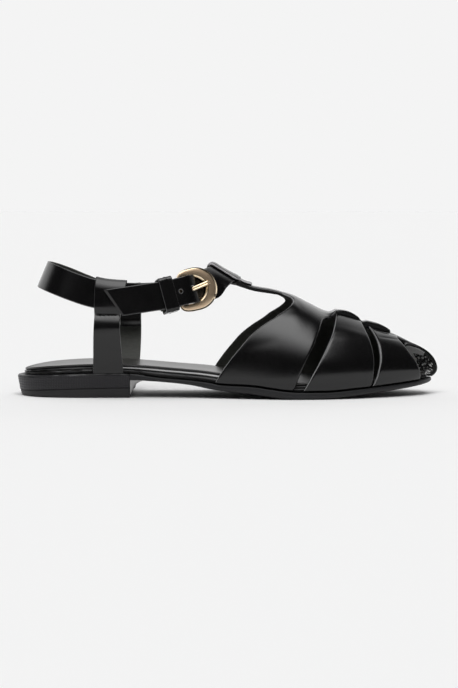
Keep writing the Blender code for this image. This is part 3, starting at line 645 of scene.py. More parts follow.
def tread(x):
    """The outsole's underside, with the cove that turns down the heel's breast."""
    back = np.clip((COVE_END_X - np.asarray(x, float)) / COVE_LENGTH, 0, 1)
    return flat_tread(x) - COVE_DROP * (1 - np.sqrt(1 - back**2))


def midsole_top(x):
    return sock_top(x) - SOCK_THICKNESS - GAP


def midsole_inset(station):
    """The board stands further in at the back of the heel than along its sides."""
    share = np.clip((np.asarray(station, float) + HEEL_ROUND) / MIDSOLE_INSET_RUN, 0, 1)
    return MIDSOLE_HEEL_INSET + (MIDSOLE_INSET - MIDSOLE_HEEL_INSET) * share


# The last
swell = smooth(SIDE, "station", "swell")
swell_height = smooth(SIDE, "station", "height")
arch_power = smooth(SIDE, "station", "power")
ridge_y = smooth(RIDGE, "x", "y")
ridge_z = smooth(RIDGE, "x", "z")
strip_outer = smooth(STRIP_TOP, "station", "outer")
medial_shift = smooth(MEDIAL_SHIFT, "rise", "station")
throat_shift = smooth(THROAT_SHIFT, "rise", "station")
RIB_COUNT = 121
LAST_STATIONS = np.linspace(112, TIP_STATION, 320)


def ridge_station_x(station):
    """The ribs fan out round the toe, so that the tip's rib meets the ridge well behind it."""
    past = np.clip(station - FAN_FROM, 0, None)
    return station - past**2 * (TIP_STATION - FAN_RIDGE_X) / (TIP_STATION - FAN_FROM) ** 2


def rib(side, station):
    """Points evenly along the last from the sole's edge up to the ridge."""
    foot, normal = rim(side, station, BASE_INSET)
    x = ridge_station_x(station)
    ridge = np.array([x, ridge_y(x), ridge_z(x)])
    base = np.array([foot[0], foot[1], seat(station_x(station)) + GAP])
    out = float(swell(station))
    height = float(swell_height(station))
    shoulder = base + np.array([out * normal[0], out * normal[1], height])
    share = np.linspace(0, 1, 60, endpoint=False)[:, None]
    wall_plan = base[:2] + np.sin(share * math.pi / 2) * out * normal
    wall = np.concatenate([wall_plan, base[2] + share * height], 1)
    angle = np.linspace(0, math.pi / 2, 300)[:, None]
    power = 2 / float(arch_power(station))
    arch_plan = ridge[:2] + (shoulder[:2] - ridge[:2]) * np.cos(angle) ** power
    arch_height = shoulder[2] + (ridge[2] - shoulder[2]) * np.sin(angle) ** power
    arch = np.concatenate([arch_plan, arch_height], 1)
    points = np.concatenate([wall, arch])
    length = arc_lengths(points)
    return interpolated(np.linspace(0, length[-1], RIB_COUNT), length, points)


def last_surface():
    """The last's points by station and girth, and its normals, which are level at the sole."""
    rows = []
    for station in LAST_STATIONS:
        rows.append(np.concatenate([rib(LATERAL, station), rib(MEDIAL, station)[-2::-1]]))
    points = np.array(rows)
    normal = np.cross(np.gradient(points, axis=0), np.gradient(points, axis=1))
    rise = 1 - np.abs(np.linspace(-1, 1, points.shape[1]))
    normal[..., 2] *= np.clip(rise / LEVEL_RISE, 0, 1)
    normal[-1, RIB_COUNT - 1] = normal[-2, RIB_COUNT - 1]
    normal /= np.linalg.norm(normal, axis=2)[..., None]
    return points, normal * np.sign(normal[0, RIB_COUNT - 1, 2])


LAST_POINTS, LAST_NORMALS = last_surface()


def on_last(station, girth, offset):
    """Points on the last, moved out along its normal."""
    row = np.interp(station, LAST_STATIONS, np.arange(len(LAST_STATIONS)))
    column = (np.asarray(girth) + 1) * (RIB_COUNT - 1)
    i = np.clip(row.astype(int), 0, len(LAST_STATIONS) - 2)
    j = np.clip(column.astype(int), 0, 2 * RIB_COUNT - 3)
    u = (row - i)[:, None]
    v = (column - j)[:, None]

    def blend(grid):
        near = (1 - v) * grid[i, j] + v * grid[i, j + 1]
        return (1 - u) * near + u * ((1 - v) * grid[i + 1, j] + v * grid[i + 1, j + 1])

    return blend(LAST_POINTS) + np.asarray(offset)[:, None] * blend(LAST_NORMALS)


def cut_edge(rows, side, closer=0.0, moved=medial_shift):
    """A cut edge of a strap on one side, from the sole up, as points by station and girth."""
    shift = moved(rows["rise"]) + closer if side == MEDIAL else 0.0
    points = np.stack([rows["station"] + shift, side * (1 - rows["rise"]) * GIRTH_MM], 1)
    curve = open_curve(points, PATTERN_STEP)
    return [(s, g / GIRTH_MM) for s, g in curve]


def upper_patterns():
    """Outlines of the vamp with T-bar and centre strip, and of the two straps at the toe."""
    half_bar = 1 - T_BAR_RISE
    vamp = cut_edge(VAMP_FRONT, LATERAL) + cut_edge(STRIP_EDGE, LATERAL)
    vamp += [(STRIP_END, -STRIP_END_GIRTH), (STRIP_END, STRIP_END_GIRTH)]
    vamp += cut_edge(STRIP_EDGE, MEDIAL)[::-1] + cut_edge(VAMP_FRONT, MEDIAL, 0.9)[::-1]
    vamp += cut_edge(VAMP_BACK, MEDIAL, moved=throat_shift)
    vamp += [(T_BAR_END, half_bar), (T_BAR_END, -half_bar)]
    vamp += cut_edge(VAMP_BACK, LATERAL)[::-1]
    strap_2 = cut_edge(STRAP_2_FRONT, LATERAL)[:-1] + cut_edge(STRAP_2_FRONT, MEDIAL, 0.7)[::-1]
    strap_2 += cut_edge(STRAP_2_BACK, MEDIAL, -0.9)[:-1] + cut_edge(STRAP_2_BACK, LATERAL)[::-1]
    strap_3 = cut_edge(STRAP_3_FRONT, LATERAL)
    strap_3 += [(256.0, -0.01), (TIP_STATION, 0.0), (TIP_STATION, 1.0)]
    strap_3 += cut_edge(STRAP_3_BACK, MEDIAL, -0.7)[:-1] + cut_edge(STRAP_3_BACK, LATERAL)[::-1]
    return vamp, strap_2, strap_3


def buckle_axes():
    """The buckle's axes: along the strap to the toe, out from the ankle, and up."""
    level = math.cos(BUCKLE_RISE)
    c, s = math.cos(BUCKLE_TURN), math.sin(BUCKLE_TURN)
    along = np.array([level * c, level * s, math.sin(BUCKLE_RISE)])
    out = np.array([s, -c, math.tan(BUCKLE_LEAN)])
    out = unit(out - along * (out @ along))
    return along, out, np.cross(out, along)


ALONG, OUT, UP = buckle_axes()
BUCKLE = np.array(BUCKLE_CENTRE)


def at_buckle(along, out, up=0.0):
    return BUCKLE + along * ALONG + out * OUT + up * UP


def ring_rows(rows):
    """Points of the ring, each with the direction up the strap's face, from its lean."""
    points = np.stack([rows[key] for key in ("x", "y", "z")], 1)
    level = np.cross([0, 0, 1], np.gradient(points, axis=0))
    lean = np.radians(rows["lean"])[:, None]
    up = np.cos(lean) * np.array([0, 0, 1]) - np.sin(lean) * unit(level)
    return np.concatenate([points, up], 1)


def ankle_path():
    """The ankle strap's centre line and up direction: fold round the bar, ring, buckle, tail."""
    fold = [(-14.0, -1.0), (-8.0, -1.1), (-3.6, -2.0)]
    angles = np.radians([-80, -40, 0, 40, 80])
    fold += [(FOLD_RADIUS * math.cos(a), FOLD_RADIUS * math.sin(a)) for a in angles]
    fold += [(-3.6, 2.0), (-8.0, 1.2)]
    at_bar = [np.concatenate([at_buckle(along - BAR_SETBACK, out), UP]) for along, out in fold]
    passing = zip(BUCKLE_PASS["along"], BUCKLE_PASS["out"])
    through = [np.concatenate([at_buckle(along, out), UP]) for along, out in passing]
    return np.concatenate([at_bar, ring_rows(ANKLE_RING), through, ring_rows(ANKLE_TAIL)])


def strap_frames(step):
    """Points along the ankle strap, each with its directions along, out and up the strap."""
    curve = open_curve(ankle_path(), step)
    points = curve[:, :3]
    tangent = unit(np.gradient(points, axis=0))
    up = curve[:, 3:] - tangent * np.sum(curve[:, 3:] * tangent, axis=1)[:, None]
    up = unit(up)
    return points, tangent, np.cross(up, tangent), up


def plumb(strap_frame):
    """A frame of the strap with its up direction tilted along the strap until it stands upright."""
    point, along, out, up = strap_frame
    level = along * np.array([1, 1, 0])
    return point, along, out, up - along * (up @ level) / (along @ level)


# The horseshoe's outer and inner line: the middle it is drawn from along the strap, its reach to
# the toe and to the bar, its half height, and how square its bar end is.
BUCKLE_LINES = table(
    "middle toe bar height power",
    (0, 12.6, BAR_SETBACK + BAR_WIDTH / 2, 12.8, 3.2),
    (-4.3, 9.9, BAR_SETBACK - BAR_WIDTH / 2 - 4.3, 8.15, 14.0),
)
# Top and underside of the prong along the buckle, and how far it climbs.
PRONG_ARM = table(
    "along over under up",
    (-6.6, 2.0, 0.5, 0),
    (-4.2, 2.2, 0.7, 0),
    (-2.6, 2.8, 1.3, 0),
    (0.0, 3.2, 1.7, 0.35),
    (6.6, 3.1, 1.7, 1.4),
    (8.2, 2.5, 1.65, 1.65),
)


def signed_power(value, power):
    return math.copysign(abs(value) ** power, value)


def buckle_point(angle, line):
    """A point of the horseshoe's outer or inner line: round to the toe, squared off at the bar."""
    row = {key: values[line] for key, values in BUCKLE_LINES.items()}
    c, s = math.cos(angle), math.sin(angle)
    power, reach = 2.0, row["toe"]
    if c <= 0:
        power, reach = row["power"], row["bar"] * (1 + HORN_LOW * max(0, -s))
    along = row["middle"] + signed_power(c, 2 / power) * reach
    return np.array([along, signed_power(s, 2 / power) * row["height"]])


# How far the T-bar's top stands out over the vamp's face, and the underside of the centre strip as
# it weaves over the straps.
T_BAR_TOP = table(
    "station extra",
    (130.4, 0.3),
    (131.6, 1.0),
    (132.6, 1.6),
    (133.6, 2.0),
    (134.6, 1.9),
    (136, 1.2),
    (138, 0.7),
    (140, 0.6),
    (150, 0.6),
    (160, 0),
)
STRIP_UNDER = table(
    "station inner",
    (130, 0),
    (187, 0),
    (190.4, 2.05),
    (193, 3.5),
    (206.5, 3.5),
    (208.4, 2.05),
    (209.8, 0.2),
    (213.2, 0.2),
    (215.2, 2.4),
    (230.0, 2.6),
    (235.5, 1.8),
)
bar_extra = smooth(T_BAR_TOP, "station", "extra")
weave_inner = smooth(STRIP_UNDER, "station", "inner")
# Section of the horseshoe: share of the way out, and level as a share of half its thickness. The
# bevels are the polished faces of that section.
# The bevels take a lighter gold than the face: partly polish, partly a painted highlight.
FRAME_SECTION = table(
    "share level",
    (0, -0.6),
    (0.1, -1),
    (0.9, -1),
    (1, -0.6),
    (1, 0.05),
    (0.985, 0.3),
    (0.85, 0.9),
    (0.8, 0.96),
    (0.5, 1),
    (0.22, 0.96),
    (0.16, 0.9),
    (0.02, 0.3),
    (0, 0.05),
)
FRAME_BEVELS = (4, 5, 6, 9, 10, 11)
# How far a post's stem bows out at each depth below its stitches.
STEM_BOW = table(
    "below out",
    (-1, 0),
    (0, 0.1),
    (2, 1.1),
    (4, 1.8),
    (8, 2.7),
    (12, 3.0),
    (18, 2.4),
    (26, 0.8),
    (32, 0),
)
stem_bow = smooth(STEM_BOW, "below", "out")
# Creases: station and girth where each starts and ends, its width and its depth.
VAMP_CREASES = (
    (150, -0.42, 172, -0.30, 2.6, 0.22),
    (158, 0.38, 176, 0.26, 2.6, 0.22),
    (166, -0.12, 172, -0.3, 2.0, 0.18),
    (135, -0.72, 158, -0.62, 2.4, 0.16),
)
STRAP_2_CREASES = ((186, -0.5, 210, -0.44, 2.2, 0.16), (190, 0.46, 208, 0.5, 2.2, 0.16))
STRAP_3_CREASES = (
    (219, -0.36, 238, -0.30, 1.6, 0.16),
    (222, -0.22, 240, -0.16, 1.5, 0.18),
    (228, 0.3, 250, 0.42, 1.8, 0.2),
)


# Meshes
def edge_round(distance, half, radius):
    """Half thickness of a sheet at a distance from its cut edge, which is rounded."""
    inside = np.clip(distance, 0, radius)
    return half - radius + np.sqrt(np.clip(radius**2 - (radius - inside) ** 2, 0, None))


def world(points):
    return (np.asarray(points, float) - np.array([HEEL_CENTRE_X, 0, 0])) * MM


def add_object(name, data):
    item = bpy.data.objects.new(name, data)
    bpy.context.scene.collection.objects.link(item)
    return item


def write_outward(body, mesh):
    """Writes a closed body into a mesh, with its faces turned outwards."""
    if body.calc_volume(signed=True) < 0:
        bmesh.ops.reverse_faces(body, faces=body.faces[:])
    body.to_mesh(mesh)
    body.free()


def make_piece(name, mesh_data, materials, node, slot, sharp=SHARP_ANGLE):
    """A closed piece from millimetre points, riding on the sandal in place of a solid."""
    vertices, faces, slots = mesh_data
    body = bmesh.new()
    corners = [body.verts.new(Vector(point)) for point in world(vertices)]
    for face, index in zip(faces, slots):
        face = tuple(dict.fromkeys(face))
        if len(face) < 3:
            continue
        made = body.faces.new([corners[i] for i in face])
        made.material_index = index
        made.smooth = True
    loose = [v for v in body.verts if not v.link_faces]
    bmesh.ops.delete(body, geom=loose, context="VERTS")
    mesh = bpy.data.meshes.new(name)
    write_outward(body, mesh)
    mesh.set_sharp_from_angle(angle=sharp)
    for material in materials:
        mesh.materials.append(material)
    item = add_object(name, mesh)
    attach(item, "root")
    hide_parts(node)
    return item


def picked(materials, keys):
    """The materials of a piece's slots, by their keys."""
    return [materials[key] for key in keys.split()]


def grid_normals(centre, closed=False):
    """Normals of a grid of points, rows along the strip and columns across it."""
    if closed:
        along = np.roll(centre, -1, axis=0) - np.roll(centre, 1, axis=0)
    else:
        along = np.gradient(centre, axis=0)
    return unit(np.cross(along, np.gradient(centre, axis=1)))


def slab(centre, normal, upper, lower, closed=False):
    """A sheet of leather: a grid moved out and in along its normals, and its cut edges. Its slots
    are face, back and edge."""
    rows, columns = centre.shape[:2]
    top = centre + normal * upper[..., None]
    bottom = centre - normal * lower[..., None]
    vertices = np.concatenate([top.reshape(-1, 3), bottom.reshape(-1, 3)])
    under = rows * columns
    faces, slots = [], []
    for i in range(rows if closed else rows - 1):
        here, there = i * columns, (i + 1) % rows * columns
        for j in range(columns - 1):
            quad = (here + j, there + j, there + j + 1, here + j + 1)
            faces += [quad, tuple(under + corner for corner in quad[::-1])]
            # The two outermost columns each side, and the cut faces, take the edge slot: grey edge
            # paint that also stands in for a painted highlight on the rounded edges.
            slots += [0 if 1 < j < columns - 3 else 2, 1]
        for j, turn in ((0, 1), (columns - 1, -1)):
            faces.append((here + j, under + here + j, under + there + j, there + j)[::turn])
            slots.append(2)
    if not closed:
        for i, turn in ((0, -1), (rows - 1, 1)):
            for j in range(columns - 1):
                a = i * columns + j
                faces.append((a, under + a, under + a + 1, a + 1)[::turn])
                slots.append(2)
    return vertices, faces, slots


def columns_across(width, radius, step=1.5):
    """Places across a strip, close together at its rounded edges."""
    edge = np.array([0, 0.1, 0.3, 0.6, 1.0]) * radius
    half = width / 2
    middle = np.linspace(-half + 1.4 * radius, half - 1.4 * radius, max(3, int(width / step)))
    return np.concatenate([-half + edge, middle, half - edge[::-1]])


def side_distance(columns, width):
    return width / 2 - np.abs(columns)


def strip_half(columns, width, end, half, radius):
    """Half thickness of a strip whose sides are rounded, and its ends, by the distance to them."""
    distance = np.minimum(side_distance(columns, width)[None], end[:, None])
    return edge_round(distance, half, radius)


def swept(sections, closed=False):
    """A closed section swept through a row of places."""
    count, total = len(sections[0]), len(sections)
    faces = []
    for i in range(total if closed else total - 1):
        here, there = i * count, (i + 1) % total * count
        for k in range(count):
            after = (k + 1) % count
            faces.append((here + k, here + after, there + after, there + k))
    if not closed:
        last = (total - 1) * count
        faces += [tuple(range(count))[::-1], tuple(last + k for k in range(count))]
    return np.concatenate(sections), faces, [0] * len(faces)


def swept_rings(rows, columns, place, closed=False):
    """A body swept through sections, with a function that places each point of each."""
    return swept([np.array([place(row, column) for column in columns]) for row in rows], closed)


def tube(points, radius, around=8):
    """A round thread through points, with pointed ends."""
    tangent = unit(np.gradient(points, axis=0))
    upright = np.abs(tangent[:, 2:]) > 0.9
    side = unit(np.cross(tangent, np.where(upright, [[1, 0, 0]], [[0, 0, 1]])))
    other = np.cross(tangent, side)
    size = radius * np.sqrt(1 - 0.92 * np.abs(np.linspace(-1, 1, len(points))) ** 4)
    angle = turns(around)[:, None]
    rows = zip(points, side, other, size)
    return swept([p + r * (np.cos(angle) * s + np.sin(angle) * o) for p, s, o, r in rows])


def merged(meshes):
    """Several bodies in one mesh."""
    vertices, faces, slots, count = [], [], [], 0
    for points, polygons, indices in meshes:
        vertices.append(points)
        faces += [tuple(count + i for i in face) for face in polygons]
        slots += indices
        count += len(points)
    return np.concatenate(vertices), faces, slots


# Sole
def sole_layer(
    start, end, levels, base=np.zeros_like, step=1.2, across=6, crown=None, wobble=None, bands=None
):
    """A layer of the sole between two stations, from level rings of (inset, height). The insets
    count from a base line inside the sole's edge, and bands are the slots between two rings."""
    stations = np.linspace(start, end, int(round((end - start) / step)) + 1)
    pointed = [abs(s - HEEL_STATION) < 1e-6 or abs(s - TIP_STATION) < 1e-6 for s in stations]
    vertices, faces = [], []
    loops, edges = [], []
    for level, (inset, height) in enumerate(levels):
        sides = {}
        for side in (LATERAL, MEDIAL):
            extra = wobble(side, stations, level) if wobble else 0.0
            plan, _ = rim(side, stations, base(stations) + inset + extra)
            sides[side] = np.concatenate([plan, height(plan[:, 0])[:, None]], 1)
        ring = {LATERAL: [], MEDIAL: []}
        for side in (LATERAL, MEDIAL):
            for k, point in enumerate(sides[side]):
                if side == MEDIAL and pointed[k]:
                    ring[side].append(ring[LATERAL][k])
                    continue
                ring[side].append(len(vertices))
                vertices.append(point)
        loops.append(list(dict.fromkeys(ring[LATERAL] + ring[MEDIAL][::-1])))
        edges.append((ring, sides))
    slots = []
    for band, (lower, upper) in enumerate(zip(loops, loops[1:])):
        for k in range(len(lower)):
            after = (k + 1) % len(lower)
            faces.append((lower[k], lower[after], upper[after], upper[k]))
            slots.append(bands[band] if bands else 0)
    for (ring, sides), turn, shape in ((edges[0], -1, None), (edges[-1], 1, crown)):
        rows = []
        for k in range(len(stations)):
            row = [ring[LATERAL][k]]
            for share in np.arange(1, across) / across:
                if pointed[k]:
                    row.append(ring[LATERAL][k])
                    continue
                point = sides[LATERAL][k] * (1 - share) + sides[MEDIAL][k] * share
                if shape:
                    point = point + np.array([0, 0, shape(point[0], share)])
                row.append(len(vertices))
                vertices.append(point)
            rows.append(row + [ring[MEDIAL][k]])
        for near, far in zip(rows, rows[1:]):
            for j in range(across):
                faces.append((near[j], far[j], far[j + 1], near[j + 1])[::turn])
                slots.append(0)
    return np.array(vertices), faces, slots


def face_middles(vertices, faces):
    return np.array([vertices[list(face)].mean(axis=0) for face in faces])


def painted(mesh_data, slot, chosen):
    """The mesh with another material slot on the faces whose middles a test chooses."""
    vertices, faces, slots = mesh_data
    here = chosen(*face_middles(vertices, faces).T)
    return vertices, faces, [slot if picks else old for picks, old in zip(here, slots)]


def shifted(line, extra):
    """A line along the sole, moved by a fixed amount."""
    return lambda x: line(x) + extra


def waist_inset(station):
    """The outsole is drawn in behind the ball of the foot."""
    start, end = WAIST_RUN
    return WAIST_INSET * np.clip((end - np.asarray(station, float)) / (end - start), 0, 1)


def tread_up(rise):
    """A line over the tread, lower where the sole is thin and in the cove."""

    def height(x):
        over_cove = (flat_tread(x) + COVE_LIP - tread(x)) / 2.0
        limit = np.maximum(over_cove, np.clip((x - COVE_END_X) / 5, COVE_LIP / 2, 1))
        thick = np.clip((seat(x) - tread(x)) / SOLE_THICK, 0, 1)
        return tread(x) + rise * np.minimum(thick, limit)

    return height


def cove_line(x):
    return np.maximum(tread_up(2.0)(x) + 0.03, flat_tread(x) + COVE_LIP)


def board_height(share):
    """A line on the board's edge, from its foot at 0 to its top at 1."""
    return lambda x: seat(x) + GAP + (midsole_top(x) - seat(x) - GAP) * share


def rim_noise(side, stations, scale, layer):
    """Smooth unevenness along the sole's edge."""
    plan, _ = rim(side, stations)
    return np.array([noise.noise(Vector((x * scale, y * scale, layer))) for x, y in plan])


def build_outsole(materials):
    levels = [
        (2.6, tread),
        (1.4, tread_up(0.3)),
        (0.6, tread_up(0.8)),
        (0.15, tread_up(1.4)),
        (0.0, tread_up(2.0)),
        (0.0, cove_line),
        (0.0, shifted(seat, -0.9)),
        (0.12, shifted(seat, -0.4)),
        (0.4, shifted(seat, -0.1)),
        (0.9, seat),
    ]

    def in_cove(x, y, z):
        return (x < COVE_END_X + 0.5) & (z < flat_tread(x) + COVE_LIP)

    # The top band of the outsole's edge is painted with the black of the cut edges: painted shade
    # in the gap under the board and the straps.
    def in_seat_shade(x, y, z):
        return (z > seat(x) - 0.5) & (x > COVE_END_X)

    mesh = sole_layer(HEEL_BREAST_X + GAP, TIP_STATION, levels, waist_inset)
    mesh = painted(painted(mesh, 1, in_cove), 2, in_seat_shade)
    layers = picked(materials, "sole cove cut_edge")
    make_piece("sole_leather", mesh, layers, "outsole", "tread_rubber")


def build_heel(materials):
    def worn_rim(side, stations, level):
        """The heel's top edge is uneven where the cover is turned in."""
        return rim_noise(side, stations, 0.22, 5.0 + level * 0.8) * WORN_DEPTH * (4 < level < 7)

    levels = [
        (1.6, shifted(lift_joint, GAP / 2)),
        (1.3, shifted(lift_joint, 0.5)),
        (0.75, lambda x: 0.55 * lift_joint(x) + 0.45 * (seat(x) - 1.0)),
        (0.2, shifted(seat, -2.4)),
        (0.0, shifted(seat, -1.2)),
        (0.05, shifted(seat, -0.6)),
        (0.35, shifted(seat, -0.12)),
        (0.9, seat),
    ]
    bands = (0, 0, 0, 0, 0, 1, 1)
    mesh = sole_layer(HEEL_STATION, HEEL_BREAST_X, levels, wobble=worn_rim, bands=bands)
    make_piece("heel_wrap", mesh, picked(materials, "heel board"), "heel_block", "heel_cover")

    levels = [
        (3.2, np.zeros_like),
        (2.6, shifted(np.zeros_like, 0.2)),
        (2.2, shifted(np.zeros_like, 0.8)),
        (1.7, shifted(lift_joint, -0.5)),
        (1.85, shifted(lift_joint, -GAP / 2)),
    ]
    mesh = sole_layer(HEEL_STATION, HEEL_BREAST_X, levels, step=1.6)
    make_piece("top_piece", mesh, picked(materials, "rubber"), "heel_top_lift", "tread_rubber")


def build_board(materials):
    def crinkle(side, stations, level):
        """The board's cover is drawn in folds round its edge, most at the heel."""
        start, end = CRINKLE_RUN
        depth = CRINKLE_DEPTH * np.clip((end - stations) / (end - start), CRINKLE_LEAST, 1)
        return rim_noise(side, stations, 0.16, level * 1.3) * depth * (2 < level < 10)

    insets = (2.4, 2.4, 0.2, 0.0, 0.05, 0.5, 0.75, 0.25, 0.05, 0.3, 0.9, 1.9)
    shares = (0, 0.2, 0.22, 0.3, 0.44, 0.5, 0.6, 0.68, 0.78, 0.9, 0.97, 1)
    levels = [(inset, board_height(share)) for inset, share in zip(insets, shares)]
    # A band along the top of the board's edge through the waist is painted light grey: a painted
    # highlight on its rounded edge.
    highlight_from = board_height(0.79)

    def on_highlight(x, y, z):
        return (z > highlight_from(x)) & (x > BOARD_HIGHLIGHT_RUN[0]) & (x < BOARD_HIGHLIGHT_RUN[1])

    mesh = sole_layer(HEEL_STATION, TIP_STATION, levels, midsole_inset, across=2, wobble=crinkle)
    mesh = painted(mesh, 1, on_highlight)
    layers = picked(materials, "board board_line")
    make_piece("board_edge", mesh, layers, "midsole", "board_cover", BOARD_SHARP_ANGLE)


def build_sock(materials):
    def dish(x, share):
        """The sock is hollow across, most at the heel."""
        depth = np.interp(x, DISH_RUN, DISH[::-1])
        return -depth * math.sin(math.pi * share) ** 1.2

    def in_shade(x, y, z):
        return (x > SOCK_SHADE[0]) & (x < SOCK_SHADE[1])

    levels = [
        (1.6, shifted(midsole_top, GAP)),
        (0.6, shifted(midsole_top, GAP + 0.15)),
        (0.4, shifted(sock_top, -0.45)),
        (0.55, shifted(sock_top, -0.15)),
        (0.9, sock_top),
    ]
    ends = (HEEL_STATION, TIP_STATION)
    # The sock's sides below its lip take the board's black: painted shade under the lip.
    mesh = sole_layer(*ends, levels, midsole_inset, across=24, crown=dish, bands=(1, 1, 1, 0))
    mesh = painted(mesh, 1, in_shade)
    make_piece("sock_cover", mesh, picked(materials, "sock board"), "insole", "sock_leather")


# Upper
def inside(points, polygon):
    """Which plan points lie inside a closed polygon."""
    a, b = polygon, np.roll(polygon, -1, axis=0)
    hits = np.zeros(len(points), int)
    for (ax, ay), (bx, by) in zip(a, b):
        crosses = (ay > points[:, 1]) != (by > points[:, 1])
        if ay != by:
            hits += crosses & (points[:, 0] < ax + (points[:, 1] - ay) * (bx - ax) / (by - ay))
    return hits % 2 == 1


def edge_distance(points, polygon):
    """Distance of plan points from the outline of a polygon."""
    nearest = np.full(len(points), 1e9)
    for a, b in zip(polygon, np.roll(polygon, -1, axis=0)):
        span = b - a
        share = np.clip(((points - a) @ span) / (span @ span), 0, 1)
        nearest = np.minimum(nearest, np.linalg.norm(points - a - share[:, None] * span, axis=1))
    return nearest


def dense_outline(outline):
    """The outline of a pattern in millimetres, with points close together all along it."""
    points = np.array(outline) * np.array([1, GIRTH_MM])
    points = points[np.linalg.norm(points - np.roll(points, 1, axis=0), axis=1) > 0.05]
    rows = []
    for a, b in zip(points, np.roll(points, -1, axis=0)):
        count = max(1, int(math.ceil(np.linalg.norm(b - a) / OUTLINE_STEP)))
        rows += [a + (b - a) * k / count for k in range(count)]
    return np.array(rows)


def nearest_row(points, place):
    return int(np.argmin(np.sum((points - place) ** 2, axis=1)))


def pattern_mesh(polygon, inward, step):
    """Triangles that fill a pattern: rings along its edge, and a staggered grid inside them."""
    points = [polygon]
    for depth in EDGE_RINGS:
        ring = polygon + inward * depth
        keep = inside(ring, polygon) & (edge_distance(ring, polygon) > 0.9 * depth)
        points.append(ring[keep])
    low, high = polygon.min(axis=0), polygon.max(axis=0)
    rows = []
    for i, girth in enumerate(np.arange(low[1], high[1], step * 0.87)):
        stations = np.arange(low[0] + (i % 2) * step / 2, high[0], step)
        rows.append(np.stack([stations, np.full_like(stations, girth)], 1))
    grid = np.concatenate(rows)
    grid = grid[inside(grid, polygon)]
    grid = grid[edge_distance(grid, polygon) > EDGE_RINGS[-1] + 0.5 * step]
    points = [Vector(p) for p in np.concatenate(points + [grid])]
    loop = [list(range(len(polygon)))]
    flat, _, faces, _, _, _ = delaunay_2d_cdt(points, [], loop, 1, 1e-6, False)
    flat = np.array([tuple(p) for p in flat])
    within = inside(face_middles(flat, faces), polygon)
    return flat, [list(face) for face, keep in zip(faces, within) if keep]


def lasted(outline, inner, outer, shape, pleats=None, step=LEATHER_STEP):
    """A pattern stretched over the last. Its slots are leather, lining, a painted highlight along
    the edges that face the heel, the toe lining's folds, a painted highlight on their crests and on
    the lit lining inside the toe, and the cut edge."""
    polygon = dense_outline(outline)
    x, y = polygon.T
    if np.sum(x * np.roll(y, -1) - y * np.roll(x, -1)) < 0:
        polygon = polygon[::-1]
    along = np.roll(polygon, -1, axis=0) - np.roll(polygon, 1, axis=0)
    inward = unit(np.stack([-along[:, 1], along[:, 0]], 1))
    flat, faces = pattern_mesh(polygon, inward, step)
    distance = edge_distance(flat, polygon)
    station, girth = flat[:, 0], np.clip(flat[:, 1] / GIRTH_MM, -1, 1)
    bend = shape(station, girth)
    roll = EDGE_ROLL[0] * np.clip(1 - distance / EDGE_ROLL[1], 0, 1) ** 2
    foot = (1 - np.abs(girth)) * GIRTH_MM
    roll += TUCK[0] * np.clip(1 - foot / TUCK[1], 0, 1) ** 2
    top = outer(station, girth) + bend + edge_round(distance, 0, EDGE_RADIUS) - roll
    lip = LINING_LIP[0] * np.clip(1 - distance / LINING_LIP[1], 0, 1)
    bottom = inner(station, girth) + np.minimum(bend, 0) + lip
    fold, crest = pleats(station, girth) if pleats else (np.zeros_like(station), None)
    bottom = bottom - fold
    total = len(flat)
    vertices = [on_last(station, girth, top), on_last(station, girth, bottom)]
    polygons, slots = [], []
    border = {}
    for face in faces:
        polygons += [tuple(face), tuple(total + i for i in reversed(face))]
        middle = flat[face].mean(axis=0)
        # Edges that face the heel get a light grey paint: a painted highlight where their rounding
        # catches the light.
        faces_heel = inward[nearest_row(polygon, middle)][0] > EDGE_HIGHLIGHT_FACING
        off_foot = abs(middle[1]) < EDGE_HIGHLIGHT_GIRTH * GIRTH_MM
        lit_edge = distance[face].mean() < EDGE_HIGHLIGHT_WIDTH and faces_heel and off_foot
        lined = 1
        # Inside the toe, the pleats' crests and the lining near the ridge take a near-white paint:
        # painted highlight and painted light from the opening. The pleats' troughs stay black.
        if pleats and station[face].mean() > TOE_LINING_FROM and girth[face].mean() > 0:
            rise = 1 - girth[face].mean()
            if rise < PLEAT_RISE and station[face].mean() > PLEAT_FROM:
                lined = 4 if crest[face].mean() > PLEAT_HIGHLIGHT_CREST else 3
            elif rise < TOE_HIGHLIGHT_RISE and vertices[1][face, 0].mean() < TOE_HIGHLIGHT_TO:
                lined = 4
        slots += [2 if lit_edge else 0, lined]
        border.update(dict.fromkeys(zip(face, face[1:] + face[:1])))
    rims = [(a, b) for a, b in border if (b, a) not in border]
    edge = sorted({a for a, _ in rims})
    number = {v: k for k, v in enumerate(edge)}
    into = inward[[nearest_row(polygon, flat[v]) for v in edge]]
    for inset, depth in EDGE_STEPS:
        place = flat[edge] + into * inset
        offset = outer(place[:, 0], place[:, 1] / GIRTH_MM) + bend[edge] - roll[edge] - depth
        offset = np.maximum(offset, bottom[edge] + 0.02)
        vertices.append(on_last(place[:, 0], np.clip(place[:, 1] / GIRTH_MM, -1, 1), offset))

    def chain(v):
        """The vertices down the cut edge, from the leather's face to the lining."""
        steps = range(2 * total + number[v], 2 * total + len(EDGE_STEPS) * len(edge), len(edge))
        return [v, *steps, total + v]

    for a, b in rims:
        down_a, down_b = chain(a), chain(b)
        for k in range(len(down_a) - 1):
            polygons.append((down_b[k], down_a[k], down_a[k + 1], down_b[k + 1]))
            slots.append(5)
    return np.concatenate(vertices), polygons, slots


